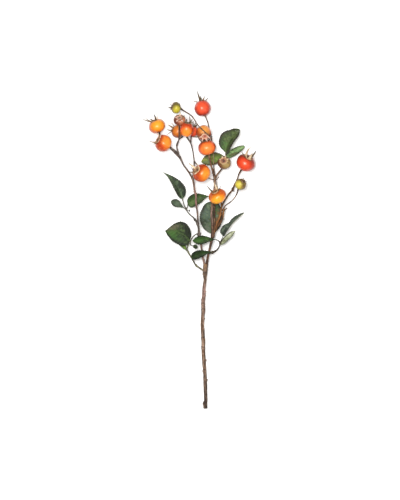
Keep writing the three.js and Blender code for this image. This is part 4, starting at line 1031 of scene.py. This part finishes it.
# foot and tip of the midrib; face: the way the upper side looks; bend: how far the midrib bows to its left;
# fold and twist in degrees; arch and curl: how far the middle and the tip rise; fullest: its widest place;
# ends: how sharp the foot and the tip are; waist: how far it draws in halfway; paints: from deep to bright;
# blots: share of the length, share across, size, colour, strength, and underBlots the same below
usualLeaflet = {"bend": 0, "twist": 0, "curl": 0, "waist": 0, "blots": [], "underBlots": []}
leaflets = {
    "back_end": {
        "foot": (28.4, 361.2, 5), "tip": (52, 391.4, 12), "width": 31, "face": (-0.5, 0.34, 0.8), "bend": 6,
        "fold": 28, "arch": 2, "curl": 7, "fullest": 0.33, "ends": (0.42, 0.5),
        "paints": ("1a2115", "374527", "556437"), "edge": "2d2122",
        "blots": [((0.15, 0.8), 0.2, "2c4420", 0.8), ((0.2, 0.55), 0.16, "4c6e34", 0.7),
                  ((0.97, 0.5), 0.13, "8a9080", 0.8), ((0.5, 0.95), 0.2, "43502e", 0.5)],
    },
    "back_right": {
        "foot": (29.8, 354.8, 4.6), "tip": (55, 370.2, 11), "width": 12, "face": (0.3, -0.36, 0.95),
        "bend": 2.2, "fold": 14, "arch": 2, "fullest": 0.42, "ends": (0.4, 0.4),
        "paints": ("2b3725", "597349", "89a96c"), "edge": "343428",
        "blots": [((0.3, 0.35), 0.26, "26341c", 0.75), ((0.35, 0.3), 0.1, "5f4e33", 0.6),
                  ((0.85, 0.6), 0.2, "7c8c66", 0.7)],
    },
    "back_left": {
        "foot": (25.2, 356.8, 3), "tip": (-6, 348, 3.6), "width": 18.5, "face": (0, 0, 1), "fold": 8,
        "arch": 1.2, "curl": 0.4, "fullest": 0.5, "ends": (0.7, 0.7),
        "paints": ("282f17", "515b28", "7d8842"), "edge": "3c2619",
        "blots": [((0.55, 0.5), 0.14, "744628", 0.85), ((0.8, 0.6), 0.25, "56634c", 0.7),
                  ((0.3, 0.6), 0.2, "527631", 0.6)],
    },
    "left_end": {
        "foot": (-32.6, 296, 11), "tip": (-60, 333.4, 6), "width": 20, "face": (0.44, 0.33, 0.84),
        "bend": -4.5, "fold": 26, "arch": 1, "curl": 1, "fullest": 0.29, "ends": (0.7, 1.15),
        "paints": ("121812", "2a3821", "4d5e43"), "edge": "21221c",
        "blots": [((0.3, 0.25), 0.3, "171f19", 0.8), ((0.6, 0.85), 0.2, "586851", 0.5)],
    },
    "left_left": {
        "foot": (-28, 281.2, 13.2), "tip": (-48.4, 293, 10), "width": 11.6, "face": (0, 0.1, 1),
        "bend": -0.6, "fold": 16, "arch": 0.8, "fullest": 0.68, "ends": (1.2, 0.5),
        "paints": ("1f241b", "3a472f", "566351"), "edge": "242520",
        "blots": [((0.7, 0.6), 0.2, "4f614b", 0.5)],
    },
    "left_right": {
        "foot": (-25, 288.6, 11.8), "tip": (5.4, 299.6, 10.4), "width": 18.6, "face": (0.05, -0.25, 1),
        "bend": 2.6, "fold": 14, "twist": 20, "arch": -1, "curl": 2, "fullest": 0.32, "ends": (0.5, 1.2),
        "paints": ("192515", "31481e", "4e6334"), "edge": "24291c",
        "blots": [((0.75, 0.4), 0.25, "2c342f", 0.6)],
    },
    "middle": {
        "foot": (8, 247.4, 13.2), "tip": (10.4, 291.4, 9), "width": 32.4, "face": (0.08, 0, 1), "bend": 1.4,
        "fold": 5, "arch": -0.8, "fullest": 0.5, "ends": (0.5, 0.3),
        "paints": ("1a2218", "36462f", "58674e"), "edge": "24241c",
        "blots": [((0.7, 0.3), 0.24, "2e5020", 0.85), ((0.55, 0.06), 0.26, "6a4220", 0.9),
                  ((0.3, 0.14), 0.24, "5a3a1a", 0.85), ((0.3, 0.9), 0.25, "1d2a18", 0.8),
                  ((0.08, 0.7), 0.2, "5c6454", 0.75), ((0.62, 0.75), 0.2, "4b5a50", 0.7),
                  ((0.9, 0.5), 0.16, "1c261a", 0.7)],
    },
    "cane_end": {
        "foot": (-21.8, 237.8, 11.8), "tip": (-57, 250.2, 5), "width": 32.5, "face": (-0.1, 0.04, 1),
        "bend": -5, "fold": 8, "arch": 2.4, "curl": 0.5, "fullest": 0.42, "ends": (0.36, 0.95),
        "paints": ("0b120a", "1d2815", "42552c"), "edge": "10130d",
        # its second blot, pale brown, is a painted sheen
        "blots": [((0.68, 0.66), 0.3, "35591f", 0.85), ((0.78, 0.26), 0.26, "5e5844", 0.65),
                  ((0.45, 0.72), 0.2, "2c4a1e", 0.6), ((0.1, 0.3), 0.32, "0b0f0b", 0.9),
                  ((0.42, 0.52), 0.16, "141d10", 0.6)],
    },
    "cane_left": {
        "foot": (-27.4, 223.4, 9), "tip": (-41.4, 238.6, 3), "width": 10, "face": (0.5, 0.1, 0.8),
        "fold": 34, "arch": 0.5, "fullest": 0.5, "ends": (0.75, 0.75),
        "paints": ("263417", "466126", "69813a"), "edge": "2d341c",
    },
    "cane_right": {
        "foot": (-19.6, 213.4, 12.2), "tip": (9.4, 220.8, 19.4), "width": 12.5, "face": (0.1, -0.25, 1),
        "bend": 3, "fold": 14, "arch": 3.2, "fullest": 0.3, "ends": (0.6, 1),
        "paints": ("0b1107", "17260e", "283c18"), "edge": "0d1109",
        "blots": [((0.75, 0.5), 0.3, "244016", 0.6)],
    },
    "knot": {
        "foot": (-18.2, 229.6, 14.2), "tip": (-10.8, 226.6, 12.6), "width": 6.5, "face": (0.3, 0.2, 1),
        "fold": 24, "arch": 0.4, "fullest": 0.5, "ends": (0.75, 0.75),
        "paints": ("11180e", "212d17", "364427"), "edge": "1c1c16",
    },
    "low_left": {
        "foot": (15.2, 238.2, 19.8), "tip": (-18, 236.4, 20.4), "width": 14, "face": (0.05, -0.35, 0.95),
        "bend": -2, "fold": 12, "twist": -14, "arch": 1.6, "fullest": 0.66, "ends": (0.9, 0.6),
        "paints": ("10180b", "223416", "42602a"), "edge": "12170d",
        "blots": [((0.8, 0.5), 0.32, "2e521d", 0.75), ((0.15, 0.5), 0.3, "10140e", 0.85)],
    },
    "low_top": {
        "foot": (24.6, 243.4, 13), "tip": (55, 275.8, 16), "width": 18, "face": (-0.56, 0.52, 0.64),
        "bend": 3.4, "fold": 36, "twist": -30, "arch": 0.4, "curl": 0.6, "fullest": 0.22,
        "ends": (0.5, 0.6), "waist": 0.42,
        "paints": ("192119", "333f32", "515d4b"), "edge": "22241f",
        "blots": [((0.14, 0.5), 0.3, "121714", 0.9), ((0.62, 0.5), 0.2, "5a6351", 0.5)],
    },
    "low_right": {
        "foot": (20.4, 231.4, 14), "tip": (42.4, 251, 19), "width": 13, "face": (0.8, -0.45, -0.6),
        "bend": -3.6, "fold": 16, "arch": 0.6, "fullest": 0.42, "ends": (0.55, 0.8),
        "paints": ("1d281a", "334028", "525e42"), "edge": "262a1e",
        "underBlots": [((0.12, 0.5), 0.24, "4e5438", 0.75), ((0.45, 0.8), 0.16, "686c52", 0.55),
                       ((0.78, 0.25), 0.14, "787c62", 0.5), ((0.62, 0.5), 0.16, "d4d8c2", 0.6),
                       ((0.9, 0.6), 0.12, "ccd0b8", 0.6)],
    },
}


def leafSkin(name, look, underside):
    kind = "leafUnder_" if underside else "leafTop_"
    material, tree, shader = startMaterial(kind + name, {"Specular IOR Level": 0.22})
    place = objectPlace(tree)
    spot = sourceNode(tree, "UVMap", uv_map="UVMap").outputs[0]
    share, across = sidesOf(spot)[:2]
    out = calc("ABSOLUTE", calc("MULTIPLY_ADD", across, 2, -1))
    wobble = noiseOf(place, 160, 3, 0.6)
    patches = noiseOf(place, 130, 4, 0.65)
    blotches = noiseOf(place, 260, 4, 0.7)
    grain = noiseOf(place, 1100, 4, 0.7)
    # side veins slant towards the tip and fade before the margin
    phase = calc("SUBTRACT", share, times(out, leafForm["veinSlant"]))
    phase = times(plus(phase, swing(wobble, 0.03)), leafForm["veins"])
    fromVein = calc("ABSOLUTE", calc("SUBTRACT", calc("FRACT", phase), 0.5))
    sideVein = times(fade(fromVein, 0.02, 0.1, 1, 0), fade(out, 0.75, 1, 1, 0.2))
    veins = calc("MAXIMUM", fade(out, 0.02, 0.08, 1, 0), times(sideVein, 0.7))
    net = dotsOf(place, 950, 0.02, 0.12, "DISTANCE_TO_EDGE")
    # veins stand out below and are sunk above
    if underside:
        places, codes, blots = (0.3, 0.5, 0.7), ("727a5a", "949a7a", "b2b69c"), look["underBlots"]
        veinCode, relief, roughness = "9a9876", 1, (0.62, 0.86)
    else:
        places, codes, blots = (0.37, 0.5, 0.63), look["paints"], look["blots"]
        veinCode, relief, roughness = codes[2], -1, (0.42, 0.64)
    tone = calc("MULTIPLY_ADD", calc("SUBTRACT", 1.0, out), 0.2, -0.12)
    tone = plus(plus(patches, tone), swing(grain, 0.16))
    colour = rampOf(tone, places, codes)
    colour = mark(colour, codes[0], blotches, 0.47, 0.34, 0.7)
    colour = mark(colour, codes[2], blotches, 0.56, 0.7, 0.6)
    colour = tint(colour, look["paints"][2], times(fade(fromVein, 0.0, 0.42), 0.25))
    # blots, each fading out from its own middle: discoloured patches, and on cane_end also a painted sheen
    for (u, v), size, code, strength in blots:
        away = addNode("VectorMath", {0: spot, 1: (u, v, 0)}, operation="DISTANCE").outputs["Value"]
        away = plus(plus(away, swing(patches, 0.4)), swing(blotches, 0.8))
        colour = tint(colour, code, fade(away, size * 0.4, size * 1.25, strength, 0))
    colour = tint(colour, veinCode, times(veins, 0.6))
    colour = tint(colour, veinCode, times(net, 0.16))
    rim = times(fade(out, 0.58, 0.97), fade(wobble, 0.35, 0.6, 0.4, 0.95))
    colour = tint(colour, look["edge"], rim)
    colour = mark(colour, "4c3820", noiseOf(place, 330, 3, 0.6), 0.64, 0.72, 0.55)
    height = plus(times(veins, relief * 0.9), times(net, relief * 0.3))
    height = plus(height, times(grain, 0.35))
    wireShader(shader, colour, fade(grain, 0.3, 0.7, *roughness), height, 0.3)
    return material


def growLeaflet(name, look):
    foot, tip = drawn(look["foot"]), drawn(look["tip"])
    along = tip - foot
    length = along.length
    along.normalize()
    face = Vector(look["face"])
    face = (face - along * face.dot(along)).normalized()
    across = face.cross(along)
    fold = math.radians(look["fold"])
    width = look["width"] * mm
    teeth = max(leafForm["fewestTeeth"], round(length / (leafForm["toothEvery"] * mm)))
    size = min(1, width / (leafForm["fullWidth"] * mm))
    seed = Vector((look["width"], look["bend"], length * 1000))

    def leafPoint(share, out):
        side = 1 if out > 0 else -1
        edge = abs(out)
        hump = 4 * share * (1 - share)
        bent = share ** (math.log(0.5) / math.log(look["fullest"]))
        sharpness = look["ends"][0] + (look["ends"][1] - look["ends"][0]) * share
        outline = math.sin(math.pi * min(1, max(0, bent))) ** sharpness
        outline *= 1 - look["waist"] * math.exp(-((share - 0.46) / 0.16) ** 2)
        least = leafForm["footWidth"] - (leafForm["footWidth"] - leafForm["tipWidth"]) * share
        half = max(least * mm, width / 2 * outline)
        saw = (share * teeth + (0.5 if side > 0 else 0)) % 1
        tooth = leafForm["toothDepth"] * mm * size * (saw**1.3 - 0.5) * math.sin(math.pi * share) ** 0.5
        ragged = leafForm["margin"] * mm * size * noise.noise(Vector((share * 9, side * 5, 3)) + seed)
        reach = edge * half + (tooth + ragged) * edge**7
        sideways = side * reach * math.cos(fold)
        lift = reach * math.sin(fold)
        turn = math.radians(look["twist"]) * (share - 0.3)
        rise = look["arch"] * mm * hump
        rise += look["curl"] * mm * max(0, share - 0.7) ** 2 * 11
        # relief: a groove along the midrib, creases on the side veins, the blade puffed up between them
        rise -= leafForm["groove"] * mm * size * math.exp(-(edge / leafForm["grooveWidth"]) ** 2)
        fromVein = ((share - leafForm["veinSlant"] * edge) * leafForm["veins"]) % 1 - 0.5
        fadeOut = (1 - edge**3) * min(1, edge * 5) * size
        rise -= leafForm["veinDepth"] * mm * math.exp(-(fromVein / leafForm["veinWidth"]) ** 2) * fadeOut
        rise += leafForm["quilt"] * mm * (abs(fromVein) * 2) ** 0.7 * fadeOut
        rise += leafForm["wave"] * mm * size * edge**2 * noise.noise(Vector((share * 5, side * 3, 0)) + seed)
        rise += leafForm["sag"] * mm * size * noise.noise(Vector((share * 3, out * 1.5, 7)) + seed)
        place = foot + along * share * length
        place += across * (sideways * math.cos(turn) - lift * math.sin(turn) + look["bend"] * mm * hump)
        return place + face * (sideways * math.sin(turn) + lift * math.cos(turn) + rise)

    blade = gridPiece("blade_" + name, teeth * leafForm["stepsPerTooth"], leafForm["rows"], leafPoint)
    for underside in (False, True):
        blade.data.materials.append(leafSkin(name, look, underside))
    shapeWith(blade, "SOLIDIFY", thickness=leafForm["thickness"] * mm, offset=-1, material_offset=1,
              material_offset_rim=0)
    closeMesh(blade, turnOut=False)
    sitOn(blade, "leaf_" + name)


for leafName, leafLook in leaflets.items():
    growLeaflet(leafName, usualLeaflet | leafLook)
print("leaflets made")


# floor, light and camera

studio = {
    "floorSize": 8.0,  # metres
    "floorDrop": 0.2,
    "floorPaints": ("f4f3f1", "f8f7f5"),
    "skyStrength": 0.3,
    "lights": {  # place and size in metres, power in watts
        "keyLight": ((-0.14, 0.26, 1.6), 0.9, 18.0),
        "glintLight": ((-0.12, 0.16, 1.3), 0.4, 14.0),
        "fillLight": ((0.9, -0.5, 1.2), 1.0, 4.0),
    },
    "pictureHeight": 500, "mmPerPixel": 1.41,
    "lens": 300.0, "sensor": 36, "farClip": 50,
    "aim": (0.66, -0.43, 14.0),  # the middle of the picture, millimetres
}


def floorSkin():
    material, tree, shader = startMaterial("paleFloor")
    place = objectPlace(tree)
    cloudy = fade(noiseOf(place, 3, 3, 0.5), 0.3, 0.7, 0, 0.5)
    colour = blendColour(cloudy, *[paint(code) for code in studio["floorPaints"]])
    wireShader(shader, colour, fade(noiseOf(place, 400), 0.3, 0.7, 0.75, 0.9))
    return material


def addSoftbox(name, place, size, power):
    light = bpy.data.lights.new(name, "AREA")
    light.shape = "SQUARE"
    light.size = size
    light.energy = power
    lamp = addToScene(name, light)
    lamp.location = place
    lamp.rotation_mode = "QUATERNION"
    lamp.rotation_quaternion = (-Vector(place)).to_track_quat("-Z", "Y")


bpy.ops.mesh.primitive_plane_add(size=studio["floorSize"], location=(0, 0, -studio["floorDrop"] * mm))
floor = newest()
floor.name = "floor"
settle(floor)
floor.data.materials.append(floorSkin())

world = bpy.data.worlds.new("softSky")
bpy.context.scene.world = world
world.use_nodes = True
sky = world.node_tree.nodes["Background"]
sky.inputs["Color"].default_value = (1, 1, 1, 1)
sky.inputs["Strength"].default_value = studio["skyStrength"]

for lightName, (lightPlace, lightSize, lightPower) in studio["lights"].items():
    addSoftbox(lightName, lightPlace, lightSize, lightPower)

camera = bpy.data.cameras.new("camera")
camera.lens = studio["lens"]
camera.sensor_width = studio["sensor"]
camera.clip_end = studio["farClip"]
cameraObject = addToScene("camera", camera)
pictureReach = studio["pictureHeight"] * studio["mmPerPixel"] * mm
cameraObject.location = Vector(studio["aim"]) * mm + up * (pictureReach * camera.lens / camera.sensor_width)
bpy.context.scene.camera = cameraObject
bpy.context.scene.view_settings.view_transform = "Standard"
print("studio made")
